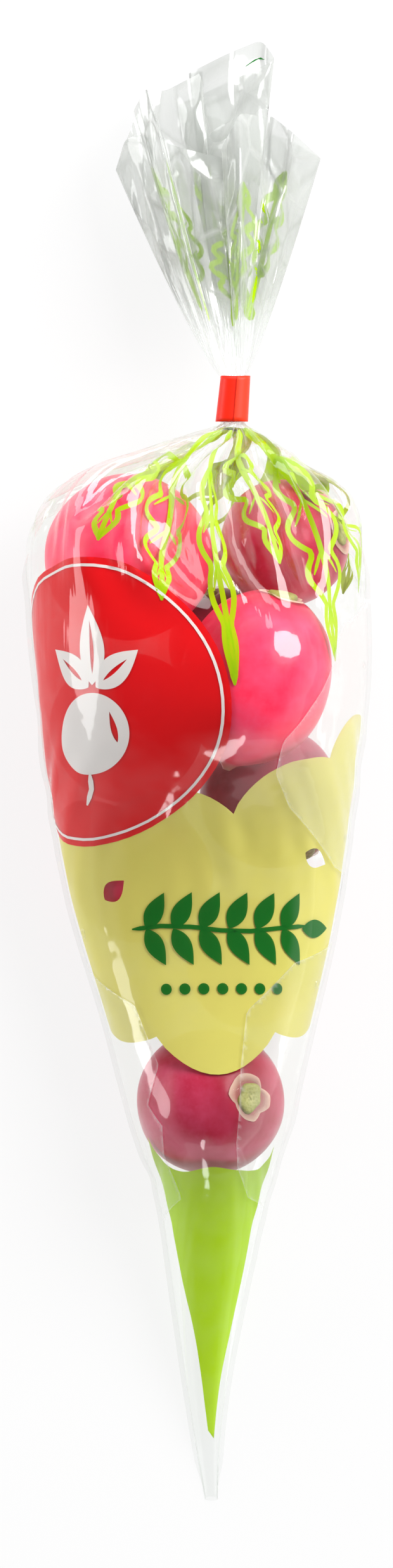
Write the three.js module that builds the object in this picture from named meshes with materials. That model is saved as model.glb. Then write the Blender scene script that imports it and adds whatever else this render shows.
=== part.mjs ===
// Radishes, topped and tailed, packed in a cone bag of clear film that is gathered and taped at its neck.
// Millimetres, +Z up. The bag lies on its back: its tip points to -Y, its gathered mouth to +Y.
// The origin is under the middle of the bag's box, on the surface that it lies on.
import * as THREE from "three";

// Film bag
const FILM_WALL = 0.8; // film, thicker than life so that it is a solid
const FILM_GAP = 1.3; // from a radish's nominal ball to the film's inside
const BAG_SIDES = 36; // points round a section
// Sections of the cone: where each stretch starts and how many sections it has
const TIP_STRETCH = { start: -193, rings: 7 };
const FULL_STRETCH = { start: -113, rings: 24 };
const SHOULDER_STRETCH = { start: 62, rings: 7 };
const SHOULDER_END_Y = 90;
const SHOULDER_PLEATS = 9; // folds that run down from the neck
const SHOULDER_PLEAT_HEIGHT = 2.5;
const BAG_SQUARENESS = 2.2; // exponent of the section: 2 is an ellipse
const SMOOTHING_PASSES = 3; // how far the film bridges from one radish to the next

const TIP_Y = -194;
// Sections of the filled cone, tip first: [y, left x, right x, bottom z, top z].
// A bottom below 0 is pressed flat on the surface, as the weight of the radishes presses it.
const CONE_SECTIONS = [
  [-193, 2.7, 4.7, 0, 2.2],
  [-188, 1.2, 5.0, 0, 3.8],
  [-180, 0.1, 5.4, 0, 5.8],
  [-163, -2.8, 7.2, -0.2, 10.5],
  [-146, -5.2, 10.4, -0.4, 16],
  [-130, -7.7, 14, -0.6, 22],
  [-113, -9.8, 17.8, -1, 29],
  [-105, -12.3, 20, -1.5, 33],
  [-96, -15.8, 22.3, -2, 38.5],
  [-88, -18, 24.4, -2.5, 42],
  [-80, -20.3, 26.5, -2.5, 43],
  [-63, -24.8, 31.2, -2.5, 42],
  [-46, -30.7, 35.8, -2.5, 43],
  [-30, -35.7, 38.7, -2.5, 46],
  [-13, -39.3, 41.3, -2.5, 53],
  [4, -40.9, 43.5, -2.5, 65],
  [20, -42, 44.4, -2.5, 73],
  [37, -44, 45.6, -2.5, 72],
  [46, -45.1, 45.7, -2.5, 69],
  [54, -45.8, 44.8, -2, 65],
  [62, -45.5, 42.2, 0.5, 61],
  [66, -44.3, 38.8, 2.5, 58.5],
  [70, -42.3, 35.4, 5.5, 55.5],
  [75, -38.6, 31.6, 9.5, 51.5],
  [79, -33, 28.2, 13.5, 48],
  [83, -24.2, 24.6, 17.5, 44],
  [87, -9.2, 21.2, 21.5, 39.5],
  [90, 0.3, 16.6, 24.5, 36.2],
];

// Gathered neck under the tape
const TAPE_WIDTH = 12;
const TAPE_THICKNESS = 0.6;
const TAPE_GAP = 0.45;
const NECK_X = 9.3;
const NECK_Z = 30;
const NECK_HALF_WIDTH = 3.2;
const NECK_HALF_DEPTH = 3;
const NECK_WALL = 2.1; // pleats of film pressed together
const NECK_START_Y = 92.6;
const NECK_MARGIN = 0.5; // bare neck at each end of the tape

// Loose mouth of the bag above the tape: a flattened tube whose folds spread from the neck to the cut edge
const FAN_START_Y = NECK_START_Y + TAPE_WIDTH + 2 * NECK_MARGIN;
const FAN_RINGS = 7;
const FAN_SWELL = 0.86; // below 1, the sides of the mouth swell out on their way from the neck
// Corners of the cut edge, where its folds end: [x, y beyond the neck, z]. The front panel runs from the right
// edge to the left one, and the longer back panel, with its peak, runs back again.
const MOUTH_FRONT = [
  [33.7, 57, 19],
  [24.7, 64, 29],
  [19.9, 70, 24],
  [11.2, 70, 33],
  [5.7, 59, 29],
  [-4.1, 61, 30],
  [-8.5, 63, 27],
  [-13.4, 77, 32],
  [-19.3, 66, 22],
  [-22.1, 56, 17],
];
const MOUTH_BACK = [
  [-22.1, 56, 17],
  [-9.3, 76, 12],
  [5.2, 83, 14],
  [17.2, 88.9, 10],
  [21.2, 84, 14],
  [24.7, 64, 9],
  [33.7, 57, 19],
];

// Radishes: nominal radius, place of the ball's centre, the way that the crown points, length of root left on,
// and how much longer than wide a long one is.
const RADISHES = [
  { name: "radish_upper_left", radius: 22.5, at: [-18.6, 57.7, 35.2], crown: [-0.5, 0.45, -0.75], root: 0.16 },
  {
    name: "radish_front",
    radius: 20.3,
    at: [15.4, 25.8, 52],
    crown: [0.25, 0.9, 0.1],
    root: 0.06,
    stretch: 1.2,
  },
  { name: "radish_right", radius: 17.5, at: [23.2, 61, 31.6], crown: [0.9, 0.12, 0.35], root: 0.14 },
  { name: "radish_deep", radius: 15, at: [6.4, 35.3, 16.5], crown: [-0.3, 0.9, 0.3], root: 0.2 },
  { name: "radish_under_front", radius: 19, at: [19.7, -6.6, 20.6], crown: [0.5, -0.75, 0.3], root: 0.16 },
  { name: "radish_left", radius: 20.5, at: [-19.2, 12.6, 29.6], crown: [-0.6, -0.1, 0.75], root: 0.16 },
  { name: "radish_low_left", radius: 19, at: [-15.2, -26.4, 20.6], crown: [-0.45, -0.85, 0.1], root: 0.16 },
  { name: "radish_low_right", radius: 17.5, at: [14.2, -49.3, 19.1], crown: [0.75, 0.1, 0.6], root: 0.14 },
  { name: "radish_tip", radius: 20, at: [3.8, -86, 21.6], crown: [0.58, 0.04, 0.81], root: 0.1 },
];
const RADISH_SIDES = 18;
// Outline of a radish from its crown to its root, as shares of its radius: [from the axis, along the axis].
// It starts with the cut stub of the leaf stalks and the collar round it.
const RADISH_OUTLINE = [
  [0, 0.99],
  [0.14, 1],
  [0.16, 0.95],
  [0.27, 0.92],
  [0.46, 0.87],
  [0.7, 0.7],
  [0.89, 0.42],
  [0.98, 0.12],
  [0.98, -0.2],
  [0.88, -0.48],
  [0.7, -0.7],
  [0.48, -0.85],
  [0.27, -0.94],
  [0.11, -1],
];
const ROOT_TIP_SHARE = 0.06; // half width of the cut root, as a share of the radius
const RADISH_UNEVENNESS = 0.025; // how far a radish is from round, as a share of its radius

// Finishes
const FILM = { color: 0xe6e9e6, roughness: 0.12, transparent: true, opacity: 0.35 };
const TAPE = { color: 0xf5321a, roughness: 0.35 };
const RADISH_SKIN = { color: 0xd81b4a, roughness: 0.35 };

// A curve through rows of numbers: gives the other columns at a value of the first.
function curveThrough(rows) {
  const keys = Float32Array.from(rows, (row) => row[0]);
  const values = Float32Array.from(rows.flatMap((row) => row.slice(1)));
  const curve = new THREE.CubicInterpolant(keys, values, rows[0].length - 1);
  return (key) => [...curve.evaluate(key)];
}

// A closed body whose rings of points run from one pole to the other.
function bodyOfRings(startPole, rings, endPole) {
  const sides = rings[0].length;
  const points = [startPole, ...rings.flat(), endPole];
  const last = points.length - 1;
  const faces = [];
  const corner = (ring, side) => 1 + ring * sides + (side % sides);
  for (let side = 0; side < sides; side++) {
    faces.push(0, corner(0, side), corner(0, side + 1));
    for (let ring = 0; ring + 1 < rings.length; ring++) {
      const [a, b] = [corner(ring, side), corner(ring, side + 1)];
      const [c, d] = [corner(ring + 1, side), corner(ring + 1, side + 1)];
      faces.push(a, c, b, b, c, d);
    }
    faces.push(corner(rings.length - 1, side), last, corner(rings.length - 1, side + 1));
  }
  return new THREE.BufferGeometry().setFromPoints(points).setIndex(faces);
}

// Distance from the middle of a section to its edge, for a rounded box of that half width and half depth.
function sectionReach(halfWidth, halfDepth, angle, squareness) {
  const across = Math.abs(Math.cos(angle) / halfWidth) ** squareness;
  const up = Math.abs(Math.sin(angle) / halfDepth) ** squareness;
  return (across + up) ** (-1 / squareness);
}

// Balls that a radish fills: two along its axis, which fall together where it is as long as wide.
function ballsOf({ radius, at, crown, stretch = 1 }) {
  const along = new THREE.Vector3(...crown).setLength(radius * (stretch - 1));
  return [1, -1].map((way) => ({ radius, at: new THREE.Vector3(...at).addScaledVector(along, way).toArray() }));
}

// Distance from the middle of a section to the far side of a ball grown by the film's gap,
// or 0 if the ray misses it.
function ballReach({ radius, at }, y, middleX, middleZ, angle) {
  const squared = (radius + FILM_GAP + FILM_WALL) ** 2 - (y - at[1]) ** 2;
  if (squared <= 0) return 0;
  const [dx, dz] = [at[0] - middleX, at[2] - middleZ];
  const along = dx * Math.cos(angle) + dz * Math.sin(angle);
  const aside = dx * Math.sin(angle) - dz * Math.cos(angle);
  return aside ** 2 >= squared ? 0 : along + Math.sqrt(squared - aside ** 2);
}

// Each number averaged with its neighbours round the section and along the bag.
function smoothed(reach) {
  const rows = reach.length;
  return reach.map((row, i) =>
    row.map((value, j) => {
      const round = row[(j + 1) % row.length] + row.at(j - 1);
      const along = reach[Math.min(i + 1, rows - 1)][j] + reach[Math.max(i - 1, 0)][j];
      return (4 * value + round + along) / 8;
    }),
  );
}

const angleOf = (side) => (side / BAG_SIDES) * 2 * Math.PI;

// Where the sections of the cone are: a few along the empty tip, then close ones along the radishes.
function sectionPlaces() {
  const stretches = [TIP_STRETCH, FULL_STRETCH, SHOULDER_STRETCH];
  const ends = [FULL_STRETCH.start, SHOULDER_STRETCH.start, SHOULDER_END_Y];
  const places = stretches.flatMap(({ start, rings }, i) =>
    Array.from({ length: rings }, (_, ring) => start + ((ends[i] - start) * ring) / rings),
  );
  return [...places, SHOULDER_END_Y];
}

// How far the folds of the shoulder stand out: none at the radishes or in the neck, most between.
function pleatReach(y, angle) {
  const share = THREE.MathUtils.inverseLerp(SHOULDER_STRETCH.start, NECK_START_Y, y);
  const height = SHOULDER_PLEAT_HEIGHT * Math.sin(Math.PI * THREE.MathUtils.clamp(share, 0, 1));
  return (height * (1 + Math.cos(SHOULDER_PLEATS * angle))) / 2;
}

// Rings of the filled cone, outside and inside: the film takes the larger of its own section and the radishes,
// and bridges the hollows between them.
function coneRings() {
  const section = curveThrough(CONE_SECTIONS);
  const middles = sectionPlaces().map((y) => {
    const [left, right, bottom, top] = section(y);
    return {
      y,
      x: (left + right) / 2,
      z: (bottom + top) / 2,
      halfWidth: (right - left) / 2,
      halfDepth: (top - bottom) / 2,
    };
  });
  const sides = Array.from({ length: BAG_SIDES }, (_, side) => angleOf(side));
  const balls = RADISHES.flatMap(ballsOf);
  const filled = middles.map((m) =>
    sides.map((angle) => Math.max(...balls.map((ball) => ballReach(ball, m.y, m.x, m.z, angle)))),
  );
  let reach = middles.map((m, i) =>
    sides.map((angle, side) =>
      Math.max(filled[i][side], sectionReach(m.halfWidth, m.halfDepth, angle, BAG_SQUARENESS)),
    ),
  );
  for (let pass = 0; pass < SMOOTHING_PASSES; pass++) reach = smoothed(reach);
  reach = reach.map((row, i) =>
    row.map((value, side) => Math.max(value, filled[i][side]) + pleatReach(middles[i].y, sides[side])),
  );
  const ringsAt = (inset) =>
    middles.map((m, i) =>
      sides.map((angle, side) => {
        const distance = reach[i][side] - inset;
        const z = m.z + distance * Math.sin(angle);
        return new THREE.Vector3(m.x + distance * Math.cos(angle), m.y, Math.max(z, inset));
      }),
    );
  return { outside: ringsAt(0), inside: ringsAt(FILM_WALL) };
}

// Rings of the gathered neck, pressed together under the tape.
function neckRings(inset) {
  return [NECK_START_Y, FAN_START_Y].map((y) =>
    Array.from({ length: BAG_SIDES }, (_, side) => {
      const angle = angleOf(side);
      const x = NECK_X + (NECK_HALF_WIDTH - inset) * Math.cos(angle);
      return new THREE.Vector3(x, y, NECK_Z + (NECK_HALF_DEPTH - inset) * Math.sin(angle));
    }),
  );
}

// Points of the cut edge of the mouth, shared out evenly between its corners.
function mouthEdge() {
  const half = BAG_SIDES / 2;
  return [MOUTH_FRONT, MOUTH_BACK].flatMap((corners) =>
    Array.from({ length: half }, (_, side) => {
      const place = (side * (corners.length - 1)) / half;
      const first = Math.floor(place);
      const corner = new THREE.Vector3(...corners[first]);
      return corner.lerp(new THREE.Vector3(...corners[first + 1]), place - first);
    }),
  );
}

// Rings of the loose mouth, which flares from the neck to its cut edge.
function fanRings(wallAtNeck) {
  const edge = mouthEdge();
  const [, neck] = neckRings(0);
  const mix = THREE.MathUtils.lerp;
  return Array.from({ length: FAN_RINGS }, (_, ring) => {
    const share = (ring + 1) / FAN_RINGS;
    const swell = share ** FAN_SWELL;
    const inset = wallAtNeck && mix(wallAtNeck, FILM_WALL, Math.min(1, 3 * share));
    return edge.map((corner, side) => {
      const angle = angleOf(side);
      return new THREE.Vector3(
        mix(neck[side].x, corner.x, swell) - inset * Math.cos(angle),
        FAN_START_Y + corner.y * share,
        mix(neck[side].z, corner.z, swell) - inset * Math.sin(angle),
      );
    });
  });
}

// The bag: one film from its sealed tip through the neck to the open mouth, with the radishes' space inside.
// The film is solid for its first ring.
function bagFilm() {
  const cone = coneRings();
  const outside = [...cone.outside, ...neckRings(0), ...fanRings(0)];
  const inside = [...cone.inside.slice(2), ...neckRings(NECK_WALL), ...fanRings(NECK_WALL)];
  const middleOf = (ring) => new THREE.Box3().setFromPoints(ring).getCenter(new THREE.Vector3());
  const tip = middleOf(cone.outside[0]).setY(TIP_Y);
  return bodyOfRings(tip, [...outside, ...inside.reverse()], middleOf(cone.inside[1]));
}

// Band of tape round the neck.
function neckTape() {
  const loop = (grow) =>
    new THREE.Path().absellipse(
      NECK_X,
      NECK_Z,
      NECK_HALF_WIDTH + grow,
      NECK_HALF_DEPTH + grow,
      0,
      2 * Math.PI,
    );
  const band = new THREE.Shape(loop(TAPE_GAP + TAPE_THICKNESS).getPoints(BAG_SIDES / 4));
  band.holes.push(new THREE.Path(loop(TAPE_GAP).getPoints(BAG_SIDES / 4)));
  const solid = new THREE.ExtrudeGeometry(band, { depth: TAPE_WIDTH, bevelEnabled: false });
  // The shape was drawn in x and z; its depth runs along the neck.
  return solid.rotateX(Math.PI / 2).translate(0, FAN_START_Y - NECK_MARGIN, 0);
}

// One radish, crown up: a turned outline, pushed a little out of round.
function radishBody({ radius, root, stretch = 1 }, index) {
  const tail = [
    [ROOT_TIP_SHARE, -1 - root],
    [0, -1 - root],
  ];
  const outline = [...RADISH_OUTLINE, ...tail].map(
    ([x, y]) => new THREE.Vector2(x * radius, y * radius * stretch),
  );
  const solid = new THREE.LatheGeometry(outline.reverse(), RADISH_SIDES);
  const places = solid.getAttribute("position");
  const point = new THREE.Vector3();
  for (let i = 0; i < places.count; i++) {
    point.fromBufferAttribute(places, i);
    const angle = Math.atan2(point.z, point.x);
    const height = point.y / radius;
    const waves = Math.sin(2 * angle + index) + Math.sin(3 * angle + 2 * height - index);
    const push = RADISH_UNEVENNESS * (waves - 1);
    point.x *= 1 + push;
    point.z *= 1 + push;
    places.setXYZ(i, point.x, point.y, point.z);
  }
  return solid;
}

function node(name, geometry, finish) {
  const mesh = new THREE.Mesh(geometry, new THREE.MeshStandardMaterial(finish));
  mesh.name = name;
  return mesh;
}

const bunch = new THREE.Group();
bunch.add(node("bag_film", bagFilm(), FILM));
bunch.add(node("neck_tape", neckTape(), TAPE));
RADISHES.forEach((radish, index) => {
  const mesh = node(radish.name, radishBody(radish, index), RADISH_SKIN);
  mesh.position.set(...radish.at);
  const crown = new THREE.Vector3(...radish.crown).normalize();
  mesh.quaternion.setFromUnitVectors(new THREE.Vector3(0, 1, 0), crown);
  bunch.add(mesh);
});

// The box's middle is brought over the origin.
const box = new THREE.Box3().setFromObject(bunch.children[0]);
const middle = box.getCenter(new THREE.Vector3());
bunch.position.set(-middle.x, -middle.y, 0);

const part = new THREE.Group();
part.add(bunch);

export default part;
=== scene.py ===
"""Radishes in a cone bag of clear printed film, taped at its neck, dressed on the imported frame."""

import math
import random
from typing import NamedTuple

import bpy
import numpy as np
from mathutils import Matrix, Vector
from mathutils.bvhtree import BVHTree
from mathutils.geometry import delaunay_2d_cdt


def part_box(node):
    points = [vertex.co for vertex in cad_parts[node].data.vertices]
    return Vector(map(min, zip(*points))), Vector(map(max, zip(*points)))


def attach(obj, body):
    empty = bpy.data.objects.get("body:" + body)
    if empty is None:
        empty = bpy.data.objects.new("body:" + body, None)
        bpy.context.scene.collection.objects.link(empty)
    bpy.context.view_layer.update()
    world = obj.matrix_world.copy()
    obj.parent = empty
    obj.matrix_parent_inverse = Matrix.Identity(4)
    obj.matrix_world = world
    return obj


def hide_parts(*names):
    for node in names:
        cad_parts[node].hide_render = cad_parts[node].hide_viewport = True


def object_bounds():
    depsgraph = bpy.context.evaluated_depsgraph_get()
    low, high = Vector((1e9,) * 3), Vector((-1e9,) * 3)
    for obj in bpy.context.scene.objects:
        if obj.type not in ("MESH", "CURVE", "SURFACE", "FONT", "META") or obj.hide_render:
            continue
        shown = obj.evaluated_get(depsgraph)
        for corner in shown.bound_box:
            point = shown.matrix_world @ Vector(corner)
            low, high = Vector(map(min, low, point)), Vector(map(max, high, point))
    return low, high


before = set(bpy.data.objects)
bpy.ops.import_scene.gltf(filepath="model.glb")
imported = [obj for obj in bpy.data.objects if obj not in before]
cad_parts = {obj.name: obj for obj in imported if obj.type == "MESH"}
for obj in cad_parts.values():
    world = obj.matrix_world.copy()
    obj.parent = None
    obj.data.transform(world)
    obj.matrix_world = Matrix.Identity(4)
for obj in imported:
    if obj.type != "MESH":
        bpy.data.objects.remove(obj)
cad_low, cad_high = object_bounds()

bl_info = {
    "name": "Bag of radishes",
    "version": (1, 0, 0),
    "blender": (4, 5, 0),
    "location": "3D View > Sidebar > Radishes",
    "description": "Dresses the packed frame of a taped film bag of radishes",
    "category": "Object",
}

MM = 0.001
BODY = "root"
RADISH_NODES = sorted(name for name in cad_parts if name.startswith("radish_"))

# The photograph's frame, for the camera
PHOTO_WIDTH = 620
PHOTO_HEIGHT = 2473
PHOTO_PIXELS_PER_MM = 6
PHOTO_OBJECT_MIDDLE = (313, 1221)


# Colours, nodes and meshes


def linear(hex_value):
    """An sRGB hex value as a linear colour with full alpha."""
    channels = [int(hex_value[i : i + 2], 16) / 255 for i in (1, 3, 5)]
    return (*(c / 12.92 if c <= 0.04045 else ((c + 0.055) / 1.055) ** 2.4 for c in channels), 1.0)


def colour(name, description, hex_value):
    """A colour that a user may change."""
    return bpy.props.FloatVectorProperty(
        name=name, description=description, subtype="COLOR", size=4, min=0, max=1, default=linear(hex_value)
    )


def length(name, description, millimetres):
    """A size that a user may change."""
    return bpy.props.FloatProperty(
        name=name, description=description, unit="LENGTH", precision=5, min=0, default=millimetres * MM
    )


def share(name, description, value, most=1.0):
    """A share or strength that a user may change."""
    return bpy.props.FloatProperty(
        name=name, description=description, subtype="FACTOR", min=0, max=most, default=value
    )


def new_material(name):
    """An empty node material and its tree."""
    material = bpy.data.materials.new(name)
    material.use_nodes = True
    material.node_tree.nodes.clear()
    return material, material.node_tree


def add_node(tree, kind, inputs=None, **settings):
    """Adds a node. Inputs, by name or number, are constants or other nodes' sockets. Settings are the
    node's own values."""
    node = tree.nodes.new(kind)
    for key, value in settings.items():
        setattr(node, key, value)
    for key, value in (inputs or {}).items():
        if isinstance(value, bpy.types.NodeSocket):
            tree.links.new(value, node.inputs[key])
        else:
            node.inputs[key].default_value = value
    return node


def add_piece(name, points, faces, material):
    """A smooth mesh piece, in metres, that rides on the body and takes the given material."""
    mesh = bpy.data.meshes.new(name)
    mesh.from_pydata([tuple(p) for p in points], [], [tuple(f) for f in faces])
    mesh.validate()
    mesh.polygons.foreach_set("use_smooth", np.ones(len(mesh.polygons), bool))
    mesh.materials.append(material)
    piece = bpy.data.objects.new(name, mesh)
    bpy.context.scene.collection.objects.link(piece)
    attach(piece, BODY)
    return piece


def add_values(piece, name, values):
    """A number for each point of a piece, for its material to read."""
    attribute = piece.data.attributes.new(name, "FLOAT", "POINT")
    attribute.data.foreach_set("value", np.asarray(values).astype(np.float32))


def grid_faces(rows, sides, wrap=True):
    """Faces between the rows of a grid of points, all facing the same way."""
    row, side = np.meshgrid(np.arange(rows - 1), np.arange(sides if wrap else sides - 1), indexing="ij")
    after = (side + 1) % sides
    corners = [row * sides + side, (row + 1) * sides + side, (row + 1) * sides + after, row * sides + after]
    return np.stack([c.ravel() for c in corners], axis=1)


def joined(parts):
    """Several sets of points and faces as one."""
    points, faces, start = [], [], 0
    for corners, made in parts:
        points.append(corners)
        faces += [tuple(int(i) + start for i in face) for face in made]
        start += len(corners)
    return np.vstack(points), faces


def node_points(name):
    """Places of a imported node's corners."""
    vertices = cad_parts[name].data.vertices
    points = np.empty(len(vertices) * 3, np.float32)
    vertices.foreach_get("co", points)
    return points.reshape(-1, 3).astype(float)


# Radishes


class RadishSettings(bpy.types.PropertyGroup):
    """Shape and colours of the radishes."""

    rings: bpy.props.IntProperty(
        name="Rings", description="Rings of points from crown to root", default=64, min=16
    )
    sides: bpy.props.IntProperty(name="Sides", description="Points round a radish", default=72, min=16)
    lumps: share("Lumps", "How far the skin swells and sinks, as a share of the radius", 0.025)
    skin: colour("Skin", "Main colour of the skin", "#FD2F56")
    skin_light: colour("Pale skin", "Colour where the skin is thin", "#FB5077")
    # The ripe colours also serve, pushed further, as painted shade on the radishes that lie deep in the bag
    ripe_and_shaded_skin: colour("Ripe skin", "Main colour of the ripest radishes", "#A31636")
    ripe_and_shaded_skin_light: colour("Pale ripe skin", "Colour where the ripest radishes' skin is thin", "#C04263")
    skin_dark: colour("Dark skin", "Colour round the crown and in old marks", "#8E1028")
    root: colour("Root", "Colour of the cut root", "#E9C9C4")


# Half outline of a radish from crown to root, as shares of its radius: (from the axis, along the axis)
RADISH_OUTLINE = [
    (0.0, 0.9),
    (0.1, 0.91),
    (0.22, 0.935),
    (0.4, 0.9),
    (0.7, 0.7),
    (0.89, 0.42),
    (0.98, 0.12),
    (0.98, -0.2),
    (0.88, -0.48),
    (0.7, -0.7),
    (0.48, -0.85),
    (0.27, -0.94),
    (0.12, -1.0),
]
ROOT_END_SHARE = 0.045
LONG_RADISHES = {"radish_front": 1.2}  # length over width
# How deep in colour some radishes are: at 0 the main colours, at 1 the ripe ones. The deeper colour stands
# partly for riper radishes and partly for painted shade on radishes that lie deep in the bag; values above 1
# are painted shade on the radishes buried under the front one
RIPENESS_AND_SHADE = {"radish_deep": 1.2, "radish_right": 0.65, "radish_tip": 0.9, "radish_under_front": 1}


class Ball(NamedTuple):
    """A packed radish. Its root's reach is a share of its radius, and its stretch is its length over its
    width."""

    centre: np.ndarray
    radius: float
    crown: np.ndarray
    root_reach: float
    stretch: float


def ball_through(points):
    """Centre and radius of the ball that passes nearest to points."""
    system = np.c_[2 * points, np.ones(len(points))]
    fit = np.linalg.lstsq(system, (points**2).sum(1), rcond=None)[0]
    return fit[:3], math.sqrt(fit[3] + fit[:3] @ fit[:3])


def fitted_ball(name):
    """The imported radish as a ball, drawn out along the axis of its crown where it is a long one."""
    points = node_points(name)
    centre, _ = ball_through(points)
    tip = points[np.linalg.norm(points - centre, axis=1).argmax()]
    crown = (centre - tip) / np.linalg.norm(centre - tip)
    stretch = LONG_RADISHES.get(name, 1.0)
    shortened = points + (1 / stretch - 1) * ((points - centre) @ crown)[:, None] * crown
    centre, radius = ball_through(shortened)
    root_reach = np.linalg.norm(shortened - centre, axis=1).max() / radius
    return Ball(centre, radius, crown, root_reach, stretch)


def smooth_curve(points, count):
    """count points along a curve through the given ones, evenly spaced."""
    points = np.array(points, float)
    padded = np.vstack([2 * points[0] - points[1], points, 2 * points[-1] - points[-2]])
    fine = []
    for a, b, c, d in zip(padded, padded[1:], padded[2:], padded[3:]):
        t = np.linspace(0, 1, 16, endpoint=False)[:, None]
        fine.append(b + 0.5 * t * (c - a + t * (2 * a - 5 * b + 4 * c - d + t * (3 * (b - c) + d - a))))
    return evenly_spaced(np.vstack([*fine, points[-1:]]), count)


def evenly_spaced(line, count):
    """count points, evenly spaced along a line of points."""
    along = np.r_[0, np.cumsum(np.linalg.norm(np.diff(line, axis=0), axis=1))]
    places = np.linspace(0, along[-1], count)
    return np.stack([np.interp(places, along, column) for column in line.T], axis=1)


def frame_on(axis):
    """Two directions square to an axis and to each other."""
    first = np.cross(axis, (0.3, 0.2, 0.9) if abs(axis[2]) < 0.8 else (1, 0, 0))
    first /= np.linalg.norm(first)
    return first, np.cross(axis, first)


def turned(ball, across, along):
    """Rings of points from their distances across and along a radish's axis, as shares of its radius."""
    first, second = frame_on(ball.crown)
    angles = np.linspace(0, 2 * math.pi, across.shape[1], endpoint=False)
    ray = np.cos(angles)[:, None] * first + np.sin(angles)[:, None] * second
    reach = across[..., None] * ray + ball.stretch * along[..., None] * ball.crown
    return ball.centre + ball.radius * reach


def waxy_radish_skin(ripeness_and_shade, settings):
    """Fresh radish skin: thin, smooth and waxy, so soft highlights over a pink-red that mottles and pales.
    It is deeper in colour the riper the radish is, and deeper still as painted shade on radishes that lie
    deep in the bag."""
    material, tree = new_material(f"waxy_radish_skin_{ripeness_and_shade:.0%}".replace("%", ""))
    skin = Vector(settings.skin).lerp(Vector(settings.ripe_and_shaded_skin), ripeness_and_shade)
    pale = Vector(settings.skin_light).lerp(Vector(settings.ripe_and_shaded_skin_light), ripeness_and_shade)
    place = add_node(tree, "ShaderNodeTexCoord").outputs["Object"]
    axial = add_node(tree, "ShaderNodeAttribute", attribute_name="along_axis").outputs["Fac"]
    # Mottling of the skin, patches of about 9 mm
    mottle = add_node(
        tree, "ShaderNodeTexNoise", {"Vector": place, "Scale": 1 / (9 * MM), "Detail": 4.0, "Roughness": 0.6}
    )
    # Fine freckles, about 1 mm
    freckle = add_node(tree, "ShaderNodeTexNoise", {"Vector": place, "Scale": 1 / (1.2 * MM), "Detail": 2.0})
    # Over the main colour: mottling, freckles, a dark shoulder round the crown and a pale root
    pigment = skin
    for pattern, none, full, most, tone in (
        (mottle.outputs["Fac"], 0.35, 0.75, 1, pale),
        (freckle.outputs["Fac"], 0.55, 0.8, 0.3, pale),
        (axial, 0.24, 0.06, 0.75, settings.skin_dark),
        (axial, 0.92, 0.99, 1, settings.root),
    ):
        cover = add_node(
            tree, "ShaderNodeMapRange", {"Value": pattern, "From Min": none, "From Max": full, "To Max": most}
        )
        toned = add_node(
            tree,
            "ShaderNodeMix",
            {"Factor": cover.outputs["Result"], "A": pigment, "B": tone},
            data_type="RGBA",
        )
        pigment = toned.outputs["Result"]
    bump = add_node(
        tree, "ShaderNodeBump", {"Height": mottle.outputs["Fac"], "Strength": 0.25, "Distance": 0.4 * MM}
    )
    shader = add_node(
        tree,
        "ShaderNodeBsdfPrincipled",
        {
            "Base Color": pigment,
            "Roughness": 0.3,
            "IOR": 1.42,
            "Specular IOR Level": 0.25,
            "Subsurface Weight": 0.12,
            "Subsurface Radius": (0.006, 0.002, 0.002),
            "Subsurface Scale": 0.5,
            "Coat Weight": 0.05,
            "Coat Roughness": 0.12,
            "Normal": bump.outputs["Normal"],
        },
    )
    add_node(tree, "ShaderNodeOutputMaterial", {"Surface": shader.outputs["BSDF"]})
    return material


class RADISHES_OT_radishes(bpy.types.Operator):
    """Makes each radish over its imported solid"""

    bl_idname = "radishes.radishes"
    bl_label = "Radishes"

    def execute(self, context):
        settings = context.scene.radish_bag_radishes
        grades = sorted({0, *RIPENESS_AND_SHADE.values()})
        # One skin for each depth of colour: the deepest ones carry painted shade for the buried radishes
        skins = {ripeness_and_shade: waxy_radish_skin(ripeness_and_shade, settings) for ripeness_and_shade in grades}
        for number, node in enumerate(RADISH_NODES):
            self.make_radish(settings, skins[RIPENESS_AND_SHADE.get(node, 0)], node, random.Random(number))
        return {"FINISHED"}

    def make_radish(self, settings, material, node, draw):
        """One radish: a turned outline with soft lumps, standing on its own crown axis."""
        ball = fitted_ball(node)
        outline = [*RADISH_OUTLINE, (ROOT_END_SHARE, -ball.root_reach), (0.0, -ball.root_reach)]
        outline = smooth_curve(outline, settings.rings)
        outline[0, 0] = outline[-1, 0] = 0.0
        angles = np.linspace(0, 2 * math.pi, settings.sides, endpoint=False)
        phases = [draw.uniform(0, 2 * math.pi) for _ in range(4)]
        swell = (
            0.5 * np.sin(2 * angles[None] + phases[0] + 1.5 * outline[:, 1:2])
            + 0.35 * np.sin(3 * angles[None] + phases[1] - 2 * outline[:, 1:2])
            + 0.2 * np.sin(5 * angles[None] + phases[2] + 3 * outline[:, 1:2])
            - 0.4
        )
        points = turned(ball, outline[:, :1] * (1 + settings.lumps * swell), outline[:, 1:])
        rings, sides = settings.rings, settings.sides
        inner = points[1:-1].reshape(-1, 3)
        corners = np.vstack([inner, points[0, :1], points[-1, :1]])
        faces = [tuple(f) for f in grid_faces(rings - 2, sides)]
        top, bottom = len(inner), len(inner) + 1
        last = (rings - 3) * sides
        faces += [(top, i, (i + 1) % sides) for i in range(sides)]
        faces += [(bottom, last + (i + 1) % sides, last + i) for i in range(sides)]
        piece = add_piece(node.replace("radish", "fresh_radish"), corners, faces, material)
        along = np.repeat(np.linspace(0, 1, rings)[1:-1], sides)
        add_values(piece, "along_axis", np.r_[along, 0.0, 1.0])
        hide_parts(node)


# Crowns


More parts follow.
